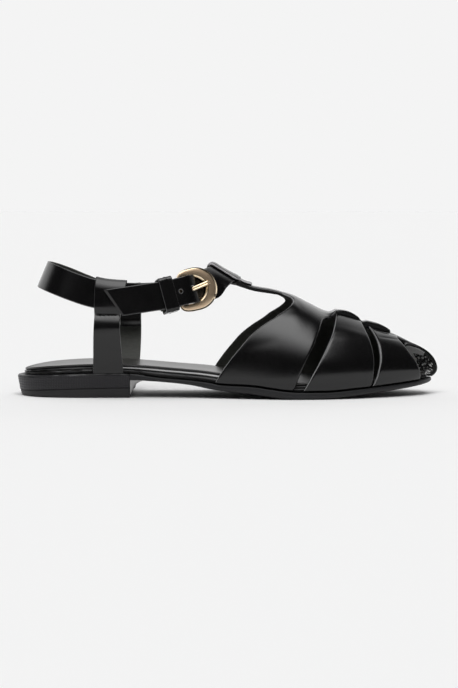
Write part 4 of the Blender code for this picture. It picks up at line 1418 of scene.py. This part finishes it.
def trough(station, girth, start, end, width, depth):
    """A soft crease between two points of the pattern, given by station and girth."""
    points = np.stack([station, girth * GIRTH_MM], 1)
    a = np.array([start[0], start[1] * GIRTH_MM])
    b = np.array([end[0], end[1] * GIRTH_MM])
    span = b - a
    share = ((points - a) @ span) / (span @ span)
    away = np.linalg.norm(points - a - np.clip(share, 0, 1)[:, None] * span, axis=1)
    fade = np.clip(np.sin(math.pi * np.clip(share, 0, 1)), 0, 1) ** 0.6
    return -depth * fade * np.exp(-((away / width) ** 2))


def creases(rows):
    """A shape made of the soft creases listed in a table."""

    def shape(station, girth):
        total = np.zeros_like(station)
        for start_s, start_g, end_s, end_g, width, depth in rows:
            total += trough(station, girth, (start_s, start_g), (end_s, end_g), width, depth)
        return total

    return shape


def toe_pleats(station, girth):
    """Pleats where the toe's lining is drawn in over the sole's edge, deepest at the foot."""
    rise = 1 - np.abs(girth)
    foot = np.clip((PLEAT_RISE - rise) / PLEAT_RISE, 0, 1)
    side = np.clip((station - PLEAT_FROM) / 4, 0, 1)
    folds = []
    for s, g in zip(station, girth * GIRTH_MM):
        broad = noise.noise(Vector((s * 0.5, g * 0.26, 3.0)))
        folds.append(broad + 0.5 * noise.noise(Vector((s * 1.1, g * 0.6, 9.0))))
    folds = np.array(folds)
    return side * np.sqrt(foot) * (0.9 + PLEAT_DEPTH * folds), folds


def crowned(level, height):
    """A strap's face or back, lifted over the ridge."""

    def offset(station, girth):
        return level + height * np.clip((CROWN_GIRTH - np.abs(girth)) / CROWN_RUN, 0, 1) ** 1.5

    return offset


def build_upper(materials):
    vamp, strap_2, strap_3 = upper_patterns()
    layers = picked(materials, "leather lining bare_edge pleats toe_lining cut_edge")

    def vamp_inner(station, girth):
        return weave_inner(station)

    def vamp_outer(station, girth):
        away = np.abs(girth)
        on_bar = np.clip((RELIEF_GIRTH - away) / BAR_FADE, 0, 1)
        on_strip = np.clip((RELIEF_GIRTH - away) / STRIP_FADE, 0, 1)
        start, end = STRIP_FLAT_RUN
        across = np.clip(away, 0, STRIP_FLAT_GIRTH[1]) / STRIP_FLAT_GIRTH[0]
        flat = STRIP_FLAT * np.clip((station - start) / (end - start), 0, 1) * across**2
        strip = strip_outer(station) - WALL + flat
        return WALL + on_strip * strip + on_bar * bar_extra(station)

    mesh = lasted(vamp, vamp_inner, vamp_outer, creases(VAMP_CREASES))
    make_piece("vamp_leather", mesh, layers, "upper", "upper_leather")
    rear = crowned(0.0, STRAP_2_CROWN), crowned(WALL, STRAP_2_CROWN)
    mesh = lasted(strap_2, *rear, creases(STRAP_2_CREASES))
    make_piece("toe_strap_rear", mesh, layers, "upper", "upper_leather")
    front = crowned(0.0, STRAP_3_CROWN), crowned(WALL, STRAP_3_CROWN)
    mesh = lasted(strap_3, *front, creases(STRAP_3_CREASES), toe_pleats, 0.9)
    make_piece("toe_strap_front", mesh, layers, "upper", "upper_leather")


# Ankle
def frames_at(centre, offsets):
    """Frames of the ankle strap at distances along it from the place nearest to a point."""
    points, tangent, out, up = strap_frames(FRAME_STEP)
    length = arc_lengths(points)
    at = length[nearest_row(points, np.array(centre))] + np.asarray(offsets)
    directions = [unit(interpolated(at, length, rows)) for rows in (tangent, out, up)]
    return list(zip(interpolated(at, length, points), *directions))


def cut(item, mesh_data):
    """Cuts a closed body out of a piece."""
    vertices, faces, _ = mesh_data
    mesh = bpy.data.meshes.new("cutter")
    mesh.from_pydata([tuple(p) for p in world(vertices)], [], faces)
    body = bmesh.new()
    body.from_mesh(mesh)
    write_outward(body, mesh)
    tool = add_object("cutter", mesh)
    modifier = item.modifiers.new("cut", "BOOLEAN")
    modifier.operation = "DIFFERENCE"
    modifier.solver = "EXACT"
    modifier.object = tool
    bpy.context.view_layer.objects.active = item
    bpy.ops.object.modifier_apply(modifier="cut")
    bpy.data.objects.remove(tool)


def buckle_box(along, out, up):
    corners = ((out[0], up[0]), (out[1], up[0]), (out[1], up[1]), (out[0], up[1]))
    return swept_rings(along, corners, lambda a, corner: at_buckle(a, *corner))


def buckle_rod(along, up, radius, out):
    """A round rod across the strap at the buckle."""

    def place(level, angle):
        return at_buckle(along + radius * math.cos(angle), level, up + radius * math.sin(angle))

    return swept_rings(out, turns(20), place)


def hole_rim():
    """The raised edge of the strap's spare hole."""

    def place(angle, turn):
        radius = SPARE_HOLE_RADIUS + 0.3 + 0.25 * math.cos(turn)
        along = SPARE_HOLE[0] + radius * math.cos(angle)
        up = SPARE_HOLE[1] + radius * math.sin(angle)
        return at_buckle(along, HOLE_RIM_OUT + 0.2 * math.sin(turn), up)

    return swept_rings(turns(24), turns(8), place, closed=True)


def build_strap(materials):
    points, tangent, out, up = strap_frames(1.0)
    columns = columns_across(STRAP_WIDTH, STRAP_EDGE)
    length = arc_lengths(points)
    near_end = np.clip((length - length[-1] + TAIL_SKEW_RUN) / TAIL_SKEW_RUN, 0, 1)
    skew = TAIL_SKEW * eased(near_end)[:, None] * columns[None] * 2 / STRAP_WIDTH
    centre = points[:, None] + up[:, None] * columns[None, :, None]
    centre = centre + tangent[:, None] * skew[..., None]
    normal = np.repeat(out[:, None], len(columns), axis=1)
    end = np.minimum(length, length[-1] - length)
    half = strip_half(columns, STRAP_WIDTH, end, STRAP_THICKNESS / 2, STRAP_EDGE)
    paint = picked(materials, "edge")
    # The hole's rim takes the grey edge paint: a painted highlight ring round the hole.
    make_piece("spare_hole_rim", hole_rim(), paint, "ankle_strap", "strap_leather")
    mesh = slab(centre, normal, half, half)
    layers = picked(materials, "strap lining edge")
    item = make_piece("ankle_strap_leather", mesh, layers, "ankle_strap", "strap_leather")
    cut(item, buckle_box(*EYE_SLOT))
    cut(item, buckle_box(*PRONG_SLOT))
    cut(item, buckle_rod(*SPARE_HOLE, SPARE_HOLE_RADIUS, SPARE_HOLE_REACH))


def strip_grid(lines, count):
    """A grid of points from one line per column, each evenly divided."""
    return np.stack([open_curve(line, count=count) for line in lines], 1)


def stitches(name, track, columns, starts, radius, thread, node, slot):
    """A row of stitches across a strap, one from each start along the track."""
    threads = []
    for start in starts:
        at = np.linspace(start, start + STITCH_LENGTH, 7)
        threads.append(tube(interpolated(at, columns, track), radius))
    make_piece(name, merged(threads), thread, node, slot)


def post_line(side, frame_here, share, base_x):
    """Middle line of a post's leather: up the stem, round the loop, down to the sewn end."""
    point, _, out, up = frame_here
    face = STRAP_THICKNESS / 2 + LOOP_CLEARANCE + LOOP_WALL
    half_up = STRAP_WIDTH / 2 + LOOP_CLEARANCE + LOOP_WALL
    layer = POST_THICKNESS / 2
    top = point + out * (face - 0.5 - layer) - up * (half_up + 7.3)
    station = base_x + side * share * POST_BASE_WIDTH
    plan, _ = rim(side, station, POST_BASE_INSET + layer)
    foot = np.array([plan[0], plan[1], seat(station) + GAP])
    line = []
    for part in (1.0, 0.8, 0.6, 0.4, 0.2):
        bow = math.sin(part * math.pi) * POST_BOW * side
        line.append(top + (foot - top) * part + np.array([0, bow, 0]))
    wall = face - LOOP_WALL / 2
    high = half_up - LOOP_WALL / 2
    stem = [(face - 0.5 - layer, -half_up - 6.0), (face - 0.45 - layer, -half_up - 2.0)]
    outside = [(wall, -high), (wall, -high / 2), (wall, 0), (wall, high * 0.45)]
    shoulder = [(0.8 * wall, high - 3.6), (0.36 * wall, high - 1.8), (0.05 * wall, high - 0.6)]
    over = [(0, high), (-0.75 * wall, high - 0.65), (-wall, high - 2.2), (-wall, high * 0.5)]
    back = [(-wall, 0), (-wall, -high / 2), (-wall, -high + 1.0)]
    sewn = [(-0.35, -half_up - 1.6), (-0.3, -half_up - 6.5)]
    loop = stem + outside + shoulder + over + back + sewn
    return np.array(line + [point + out * a + up * b for a, b in loop])


def build_post(name, node, side, place, materials):
    centre, base_x = place
    columns = columns_across(POST_WIDTH, POST_EDGE, 1.0)
    middle = len(columns) // 2
    frames = [plumb(f) for f in frames_at(centre, columns)]
    lines = [post_line(side, f, c / POST_WIDTH, base_x) for f, c in zip(frames, columns)]
    grid = strip_grid(lines, 170)
    normal = grid_normals(grid)
    facing = np.sign(normal[20, middle] @ np.array([0, side, 0]))
    half_up = STRAP_WIDTH / 2 + LOOP_CLEARANCE + LOOP_WALL
    point, to_toe, _, up = frames[middle]
    level = (grid - point) @ up + half_up
    outer_side = (np.arange(len(grid)) < np.argmax(level[:, middle]))[:, None]
    below = np.where(outer_side, -level - STITCH_BELOW, 99.0)
    height = np.clip((level + STITCH_BELOW) / (2 * half_up), 0, 1)
    rising = 1 - (1 - np.clip(height / LOOP_FLARE_PEAK, 0, 1)) ** 2
    falling = np.clip((height - LOOP_FLARE_PEAK) / (1 - LOOP_FLARE_PEAK), 0, 1)
    flare = LOOP_FLARE * rising * (1 - eased(falling))
    bow = np.where(outer_side, flare, 0) + stem_bow(below)
    grid = grid + normal * facing * bow[..., None]
    if side == LATERAL:
        spread = np.clip(columns / columns[0], 0, 1)[None, :, None] * height[..., None]
        grid = grid - to_toe * LOOP_SPREAD * spread
    normal = grid_normals(grid) * facing
    length = arc_lengths(grid[:, middle])
    half = strip_half(columns, POST_WIDTH, length[-1] - length, POST_HALF, POST_EDGE)
    across = np.repeat(columns[None], len(grid), axis=0)
    inside_edge = np.clip((POST_WIDTH / 2 - np.abs(across) - 0.8) / 1.2, 0, 1)
    depth, width = STITCH_GROOVE
    relief = -depth * np.exp(-((below / width) ** 2))
    depth, middle_below, width = STITCH_PUCKER
    wave = np.sin(across * 2 * math.pi / STITCH_PITCH)
    pucker = depth * wave * np.exp(-(((below - middle_below) / width) ** 2))
    upper = half + (relief + pucker) * inside_edge
    layers = picked(materials, "strap lining edge")
    make_piece(name, slab(grid, normal, upper, half), layers, node, "strap_leather")
    row = int(np.argmin(np.abs(below[:, middle])))
    track = grid[row] + normal[row] * (upper[row][:, None] + 0.12)
    reach = POST_WIDTH / 2 - 1.9
    starts = np.arange(-reach, reach - STITCH_LENGTH, STITCH_PITCH)
    thread = picked(materials, "thread")
    name += "_stitches"
    stitches(name, track, columns, starts, POST_THREAD, thread, node, "strap_leather")


def build_t_loop(materials):
    columns = columns_across(T_LOOP_WIDTH, T_LOOP_EDGE, 1.0)
    middle = len(columns) // 2
    frames = frames_at(T_LOOP_PLACE, columns)
    wall = STRAP_THICKNESS / 2 + LOOP_CLEARANCE + LOOP_WALL / 2
    deep = wall + T_LOOP_DEPTH
    high = STRAP_WIDTH / 2 + LOOP_CLEARANCE + LOOP_WALL / 2
    face = [(wall, -high * 0.9), (wall, -high / 2), (wall, 0), (wall, high / 2), (wall, high - 2.2)]
    over = [(0.75 * wall, high - 0.6), (0, high), (-0.75 * deep, high - 0.6), (-deep, high - 2.2)]
    back = [(-deep, high / 2), (-deep, 0), (-deep, -high * 0.45), (-deep * 0.85, -high * 0.8)]
    sewn_on = ((142.2, 3.5), (140.0, 3.45), (137.2, 3.45), (135.3, 3.75))
    tucked_in = ((133.4, 0.4), (136.3, 0.9))
    lines = []
    for point, _, out, up in frames:

        def on_bar(rows):
            return [np.array([x, ridge_y(x) + point[1], ridge_z(x) + rise]) for x, rise in rows]

        loop = [point + out * a + up * b for a, b in face + over + back]
        lines.append(np.array(on_bar(sewn_on) + loop + on_bar(tucked_in)))
    grid = strip_grid(lines, 110)
    normal = grid_normals(grid)
    top = np.argmax(grid[:, middle, 2])
    if normal[top, middle, 2] < 0:
        normal = -normal
    length = arc_lengths(grid[:, middle])
    half = strip_half(columns, T_LOOP_WIDTH, length, T_LOOP_HALF, T_LOOP_EDGE)
    dome = T_LOOP_DOME[0] * (1 - (2 * columns / T_LOOP_WIDTH) ** 2)
    upper = half + dome[None] * np.exp(-(((length - length[top]) / T_LOOP_DOME[1]) ** 2))[:, None]
    vertices, faces, slots = slab(grid, normal, upper, half)
    point, _, out, _ = frames[middle]
    # The cut edges of the loop's outer layer take a pale grey paint: a painted highlight where the
    # loop's top catches the light at a grazing angle.
    outer_layer = (face_middles(vertices, faces) - point) @ out > 0
    slots = [3 if slot == 2 and over else slot for slot, over in zip(slots, outer_layer)]
    layers = picked(materials, "leather lining edge loop_rim")
    make_piece("t_bar_loop", (vertices, faces, slots), layers, "upper", "upper_leather")
    row = int(np.argmin(np.abs(length - T_STITCH_FROM_END)))
    track = grid[row] + normal[row] * (upper[row][:, None] + 0.15)
    starts = np.arange(-T_LOOP_WIDTH / 2 + 1.0, T_LOOP_WIDTH / 2 - 1.6, STITCH_PITCH)
    thread = picked(materials, "thread")
    sewn = (track, columns, starts, T_LOOP_THREAD, thread)
    stitches("t_bar_stitches", *sewn, "upper", "upper_leather")


def build_keeper(materials):
    inner, outer = KEEPER_HOLE_OUT
    wall = KEEPER_WALL / 2
    low, high, top = inner - wall, outer + wall, KEEPER_HOLE_UP + wall
    path = []
    for out, up, turn in ((high, top, 90), (low, top, 180), (low, -top, 270), (high, -top, 360)):
        corner = np.array([out, up]) - KEEPER_CORNER * np.sign([out, up])
        for angle in np.radians(np.linspace(turn - 90, turn, 9)):
            path.append(corner + KEEPER_CORNER * np.array([math.cos(angle), math.sin(angle)]))
    dense = []
    for a, b in zip(path, path[1:] + path[:1]):
        count = max(1, int(np.hypot(*(b - a)) / 0.8))
        dense += [a + (b - a) * k / count for k in range(count)]
    start, end = KEEPER_ALONG
    width = start - end
    columns = columns_across(width, KEEPER_EDGE, 0.6)
    centre = (start + end) / 2
    grid = np.array([[at_buckle(centre + c, out, up) for c in columns] for out, up in dense])
    normal = grid_normals(grid, closed=True)
    if (grid[0, 0] - at_buckle(centre, 1.0)) @ normal[0, 0] < 0:
        normal = -normal
    half = edge_round(side_distance(columns, width), wall, KEEPER_EDGE)
    ridge = 0.3 * np.exp(-(((columns - KEEPER_RIDGE) / 0.45) ** 2))
    groove = 0.12 * np.exp(-(((columns - KEEPER_RIDGE + 1.1) / 0.5) ** 2))
    upper = np.repeat((half + ridge - groove)[None], len(grid), axis=0)
    lower = np.repeat(half[None], len(grid), axis=0)
    mesh = slab(grid, normal, upper, lower, closed=True)
    layers = picked(materials, "strap lining edge")
    make_piece("keeper_leather", mesh, layers, "keeper", "strap_leather")


def build_buckle(materials):
    section = list(zip(FRAME_SECTION["share"], FRAME_SECTION["level"]))
    start, end = FRAME_BEND_RUN

    def place(angle, corner):
        share, level = corner
        outer, inner = buckle_point(angle, 0), buckle_point(angle, 1)
        along, up = inner + (outer - inner) * share
        bent = FRAME_BEND[0 if up < 0 else 1] * max(0, (abs(up) - start) / (end - start)) ** 2
        return at_buckle(along, level * BUCKLE_THICKNESS / 2 - bent, up)

    vertices, faces, _ = swept_rings(turns(180), section, place, closed=True)
    slots = [1 if k % len(section) in FRAME_BEVELS else 0 for k in range(len(faces))]
    mesh = (vertices, faces, slots)
    metals = picked(materials, "gold bright_gold")
    make_piece("horseshoe_frame", mesh, metals, "buckle_frame", "buckle_metal", FRAME_SHARP_ANGLE)


def prong_rod(side):
    """One of the two rods that lie side by side as the prong's arm."""
    rows = PRONG_ARM["along"]
    along = np.linspace(rows[0], rows[-1], 40)
    levels = [np.interp(along, rows, PRONG_ARM[key]) for key in ("over", "under", "up")]

    def place(row, angle):
        a, over, under, rise = row
        tip = np.clip(along[-1] - a, 0, 1)
        squeeze = 0.55 + 0.45 * math.sqrt(1 - (1 - tip) ** 2)
        out = (over + under) / 2 + (over - under) / 2 * squeeze * math.sin(angle)
        up = rise + side * (PRONG_ROD + 0.06) + PRONG_ROD * squeeze * math.cos(angle)
        return at_buckle(a, out, up)

    return swept_rings(zip(along, *levels), turns(14), place)


def prong_eye():
    """The prong's eye, bent round the buckle's bar."""
    middle = BAR_WIDTH / 2 + PRONG_EYE_CLEARANCE + PRONG_EYE_WALL / 2

    def place(angle, turn):
        radius = middle + PRONG_EYE_WALL / 2 * math.sin(turn)
        up = PRONG_HALF_WIDTH * signed_power(math.cos(turn), 0.5)
        return at_buckle(radius * math.cos(angle) - BAR_SETBACK, radius * math.sin(angle), up)

    return swept_rings(np.radians(np.linspace(105, -225, 40)), turns(16), place)


def build_prong(materials):
    mesh = merged([prong_rod(-1), prong_rod(1), prong_eye()])
    # The prong is all in the lighter gold, partly a painted highlight.
    metal = picked(materials, "bright_gold")
    make_piece("buckle_tongue", mesh, metal, "buckle_prong", "buckle_metal")


# Materials
def shader_of(name, colour, roughness, metallic=0.0, specular=0.5, coat=0.0, coat_roughness=0.1):
    material = bpy.data.materials.new(name)
    material.use_nodes = True
    tree = material.node_tree
    shader = tree.nodes["Principled BSDF"]
    inputs = {
        "Base Color": (*colour, 1.0),
        "Roughness": roughness,
        "Metallic": metallic,
        "Specular IOR Level": specular,
        "Coat Weight": coat,
        "Coat Roughness": coat_roughness,
    }
    for key, value in inputs.items():
        shader.inputs[key].default_value = value
    return material, tree, shader


def add_node(tree, kind, **inputs):
    node = tree.nodes.new(kind)
    for key, value in inputs.items():
        node.inputs[key.replace("_", " ")].default_value = value
    return node


def computed(tree, operation, *values):
    """A sum worked out by a node from numbers and the outputs of other nodes."""
    node = tree.nodes.new("ShaderNodeMath")
    node.operation = operation
    for socket, value in zip(node.inputs, values):
        if isinstance(value, (int, float)):
            socket.default_value = value
        else:
            tree.links.new(value, socket)
    return node.outputs["Value"]


def textured(tree, kind, place, **inputs):
    """A texture node at a place."""
    node = add_node(tree, "ShaderNodeTex" + kind, **inputs)
    tree.links.new(place, node.inputs["Vector"])
    return node


def mapped(tree, source, low, high):
    """A texture's 0 to 1 spread to another range."""
    node = add_node(tree, "ShaderNodeMapRange", To_Min=low, To_Max=high)
    tree.links.new(source, node.inputs["Value"])
    return node.outputs["Result"]


def tinted(tree, shader, source, low, high):
    """Base colour that varies with a texture between two shades."""
    node = add_node(tree, "ShaderNodeMix")
    node.data_type = "RGBA"
    colours = [s for s in node.inputs if s.type == "RGBA"]
    colours[0].default_value, colours[1].default_value = (*low, 1), (*high, 1)
    tree.links.new(source, node.inputs["Factor"])
    tree.links.new([s for s in node.outputs if s.type == "RGBA"][0], shader.inputs["Base Color"])


def bumped(tree, shader, source, distance, strength=1.0):
    node = add_node(tree, "ShaderNodeBump", Strength=strength, Distance=distance)
    tree.links.new(source, node.inputs["Height"])
    tree.links.new(node.outputs["Normal"], shader.inputs["Normal"])


def placed(tree, stretch=(1, 1, 1)):
    coordinates = tree.nodes.new("ShaderNodeTexCoord")
    mapping = add_node(tree, "ShaderNodeMapping", Scale=stretch)
    tree.links.new(coordinates.outputs["Object"], mapping.inputs["Vector"])
    return mapping.outputs["Vector"]


def leather(name, low, high, rough, grain=1.0, specular=0.5, coat=0.0):
    """Smooth dyed leather: a fine pebbled grain, soft unevenness and patches of polish."""
    looks = {"specular": specular, "coat": coat, "coat_roughness": 0.25}
    material, tree, shader = shader_of(name, high, rough[0], **looks)
    place = placed(tree)
    cells = textured(tree, "Voronoi", place, Scale=1500.0)
    cells.feature = "DISTANCE_TO_EDGE"
    pores = textured(tree, "Noise", place, Scale=700.0, Detail=4.0, Roughness=0.6)
    patches = textured(tree, "Noise", place, Scale=55.0, Detail=3.0, Roughness=0.5).outputs["Fac"]
    depth = (cells.outputs["Distance"], 0.8, pores.outputs["Fac"])
    bumped(tree, shader, computed(tree, "MULTIPLY_ADD", *depth), 0.00005 * grain, 0.3)
    along = placed(tree, (1.0, 1.0, 0.3))
    streaks = textured(tree, "Noise", along, Scale=420.0, Detail=3.0, Roughness=0.6)
    polish = (streaks.outputs["Fac"], LEATHER_STREAK, mapped(tree, patches, *rough))
    tree.links.new(computed(tree, "MULTIPLY_ADD", *polish), shader.inputs["Roughness"])
    tinted(tree, shader, patches, low, high)
    return material


def streaked(name, low, high, rough, stretch, bump, looks, **inputs):
    """A surface with streaks along one direction."""
    material, tree, shader = shader_of(name, high, rough[0], **looks)
    streaks = textured(tree, "Noise", placed(tree, stretch), **inputs).outputs["Fac"]
    bumped(tree, shader, streaks, *bump)
    tree.links.new(mapped(tree, streaks, *rough), shader.inputs["Roughness"])
    tinted(tree, shader, streaks, low, high)
    return material


def fibrous(name, low, high, rough, stretch, scale, depth):
    """A drawn or felted surface."""
    inputs = {"Scale": scale, "Detail": 5.0, "Roughness": 0.65}
    return streaked(name, low, high, rough, stretch, (depth, 0.8), {"specular": 0.3}, **inputs)


def woven(name, low, high, rough, scale, depth):
    """A fine even weave."""
    material, tree, shader = shader_of(name, high, rough[0], specular=0.4)
    place = placed(tree)
    waves = []
    for direction in ("X", "Z"):
        wave = textured(tree, "Wave", place, Scale=scale, Distortion=3.0, Detail=3.0)
        wave.bands_direction = direction
        waves.append(wave.outputs["Fac"])
    both = computed(tree, "MULTIPLY", *waves)
    bumped(tree, shader, both, depth, 0.7)
    tinted(tree, shader, both, low, high)
    tree.links.new(mapped(tree, waves[1], *rough), shader.inputs["Roughness"])
    return material


def brushed_gold(name, low, high, rough):
    """Pale gold with fine brush lines along the strap."""
    inputs = {"Scale": 3.0, "Detail": 4.0, "Roughness": 0.6}
    bump = (0.00001, 0.4)
    return streaked(name, low, high, rough, (60, 60, 900), bump, {"metallic": 1.0}, **inputs)


def make_materials():
    black, soft_black = (0.0022, 0.0022, 0.0024), (0.004, 0.0038, 0.0041)
    leathers = {
        "leather": ("black_leather", black, soft_black, (0.12, 0.2)),
        "strap": ("black_strap_leather", black, soft_black, (0.12, 0.19)),
        # Grey edge paint, lighter than the leather, so that rounded cut edges show as painted
        # highlight lines.
        "edge": ("grey_paint_and_edge_highlight", (0.06, 0.06, 0.062), (0.1, 0.1, 0.103), (0.3, 0.42)),
        # Pale grey painted highlight on the edges of the T-bar loop's outer layer.
        "loop_rim": ("painted_loop_highlight", (0.46, 0.45, 0.47), (0.6, 0.59, 0.61), (0.3, 0.42)),
        # Light grey painted highlight along the upper's edges that face the heel.
        "bare_edge": ("painted_back_edge_highlight", (0.14, 0.14, 0.142), (0.24, 0.24, 0.243), (0.3, 0.42)),
        # Black of the cut edges, also used as painted shade along the top of the outsole's edge.
        "cut_edge": ("black_cut_edge_and_painted_shade", black, (0.006, 0.006, 0.0062), (0.4, 0.55)),
        "pleats": ("black_pleated_lining", (0.008,) * 3, (0.05,) * 3, (0.1, 0.2)),
        "sock": ("dark_sock_leather", (0.014, 0.0133, 0.012), (0.024, 0.0225, 0.02), (0.26, 0.36)),
        # Black board cover, also used as painted shade on the sock's sides and forefoot.
        "board": ("black_board_cover_and_painted_shade", (0.006, 0.006, 0.0065), (0.013, 0.013, 0.0135), (0.3, 0.45)),
        # Light grey painted highlight on the board's rounded top edge.
        "board_line": ("painted_board_highlight", (0.3,) * 3, (0.5,) * 3, (0.25, 0.4)),
        "rubber": ("black_rubber", (0.008, 0.008, 0.009), (0.014, 0.014, 0.015), (0.5, 0.65)),
    }
    finishes = {
        "leather": {"coat": 0.05},
        "strap": {"coat": 0.04},
        "cut_edge": {"specular": 0.25},
        "pleats": {"coat": 1.0},
        "sock": {"grain": 0.7, "coat": 0.1},
        "board": {"grain": 1.5},
        "board_line": {"coat": 0.3},
        "rubber": {"grain": 0.6},
    }
    made = {key: leather(*looks, **finishes.get(key, {})) for key, looks in leathers.items()}
    pale = ((0.7,) * 3, (0.95, 0.95, 0.94))
    bare = ((0.2,) * 3, (0.5, 0.495, 0.49))
    grey = ((0.014, 0.015, 0.012), (0.07, 0.072, 0.064))
    stain = ((0.012, 0.012, 0.013), (0.026, 0.026, 0.028))
    fibres = {
        # Near-white painted light for the lit lining inside the toe and the pleats' crests.
        "toe_lining": ("pale_toe_lining", *pale, (0.5, 0.7), (500, 120, 120), 2.2, 0.00006),
        "cove": ("bare_cove_edge", *bare, (0.5, 0.7), (700, 60, 60), 2.5, 0.0001),
        "lining": ("grey_lining", *grey, (0.45, 0.75), (150, 150, 700), 2.2, 0.00012),
        "sole": ("sole_edge_stain", *stain, (0.35, 0.55), (60, 60, 700), 2.5, 0.00004),
        "thread": ("black_thread", black, (0.012,) * 3, (0.4, 0.6), (900, 900, 900), 2.0, 0.00003),
    }
    made |= {key: fibrous(*looks) for key, looks in fibres.items()}
    weave = ((0.006, 0.0056, 0.007), (0.028, 0.026, 0.032))
    made["heel"] = woven("heel_cover_weave", *weave, (0.36, 0.6), 205.0, 0.00016)
    gold = ((0.60, 0.44, 0.29), (0.78, 0.60, 0.42))
    bright = ((0.80, 0.64, 0.44), (0.92, 0.78, 0.58))
    made["gold"] = brushed_gold("champagne_gold", *gold, (0.24, 0.42))
    # Lighter gold for the bevels and the prong: smoother polish, with the lighter colour a painted
    # highlight.
    made["bright_gold"] = brushed_gold("polished_bevel_highlight_gold", *bright, (0.1, 0.2))
    return made


# Stage
def build_floor():
    corners = [(x * FLOOR_HALF, y * FLOOR_HALF, 0) for x, y in ((-1, -1), (1, -1), (1, 1), (-1, 1))]
    mesh = bpy.data.meshes.new("pale_floor")
    mesh.from_pydata(corners, [], [(0, 1, 2, 3)])
    material, _, _ = shader_of("floor_paper", (FLOOR_TONE,) * 3, 0.9, specular=0.0)
    mesh.materials.append(material)
    add_object("pale_floor", mesh)


def build_light():
    """A studio as a sky: dark behind the camera, a soft box overhead, and a pale backdrop."""
    surroundings = bpy.data.worlds.new("studio")
    bpy.context.scene.world = surroundings
    surroundings.use_nodes = True
    tree = surroundings.node_tree
    tree.nodes.clear()

    def ramp(value, start, end, low, high):
        inputs = {"From_Min": start, "From_Max": end, "To_Min": low, "To_Max": high}
        node = add_node(tree, "ShaderNodeMapRange", **inputs)
        node.interpolation_type = "SMOOTHSTEP"
        tree.links.new(value, node.inputs["Value"])
        return node.outputs["Result"]

    def product(*values):
        return computed(tree, "MULTIPLY", *values)

    place = tree.nodes.new("ShaderNodeTexCoord")
    split = tree.nodes.new("ShaderNodeSeparateXYZ")
    tree.links.new(place.outputs["Generated"], split.inputs["Vector"])
    side = split.outputs["X"]
    # Degrees from the horizon behind the camera, over the top, to the horizon behind the sandal.
    climb = computed(tree, "ARCTAN2", split.outputs["Z"], product(split.outputs["Y"], -1.0))
    climb = product(climb, 180 / math.pi)
    near_far = product(ramp(climb, *BOX_NEAR, 0, 1), ramp(climb, *BOX_FAR, 1, 0))
    left_right = product(ramp(side, *BOX_LEFT, 0, 1), ramp(side, *BOX_RIGHT, 1, 0))
    box = product(product(near_far, left_right), BOX_LIGHT)
    back = ramp(climb, *BACK_RISE, ROOM_LIGHT, BACK_LIGHT)
    light = tree.nodes.new("ShaderNodeBackground")
    tree.links.new(computed(tree, "ADD", box, back), light.inputs["Strength"])
    backdrop = tree.nodes.new("ShaderNodeBackground")
    backdrop.inputs["Color"].default_value = (BACKDROP, BACKDROP, BACKDROP, 1)
    path = tree.nodes.new("ShaderNodeLightPath")
    mix = tree.nodes.new("ShaderNodeMixShader")
    tree.links.new(path.outputs["Is Camera Ray"], mix.inputs["Fac"])
    tree.links.new(light.outputs["Background"], mix.inputs[1])
    tree.links.new(backdrop.outputs["Background"], mix.inputs[2])
    output = tree.nodes.new("ShaderNodeOutputWorld")
    tree.links.new(mix.outputs["Shader"], output.inputs["Surface"])


def build_camera():
    lens = bpy.data.cameras.new("photo_camera")
    lens.sensor_width = CAMERA_SENSOR
    lens.lens = CAMERA_PIXELS * CAMERA_SENSOR / PHOTO_HEIGHT
    lens.clip_start, lens.clip_end = 0.01, 500
    camera = add_object("photo_camera", lens)
    camera.location = CAMERA_PLACE
    camera.rotation_euler = (math.radians(90 - CAMERA_DIP), 0, 0)
    bpy.context.scene.camera = camera
    bpy.context.scene.view_settings.view_transform = "Standard"


def main():
    build_camera()
    build_floor()
    build_light()
    materials = make_materials()
    build_outsole(materials)
    build_heel(materials)
    build_board(materials)
    build_sock(materials)
    build_upper(materials)
    build_strap(materials)
    build_post("lateral_post_leather", "post_lateral", LATERAL, LATERAL_POST, materials)
    build_post("medial_post_leather", "post_medial", MEDIAL, MEDIAL_POST, materials)
    build_t_loop(materials)
    build_keeper(materials)
    build_buckle(materials)
    build_prong(materials)


main()
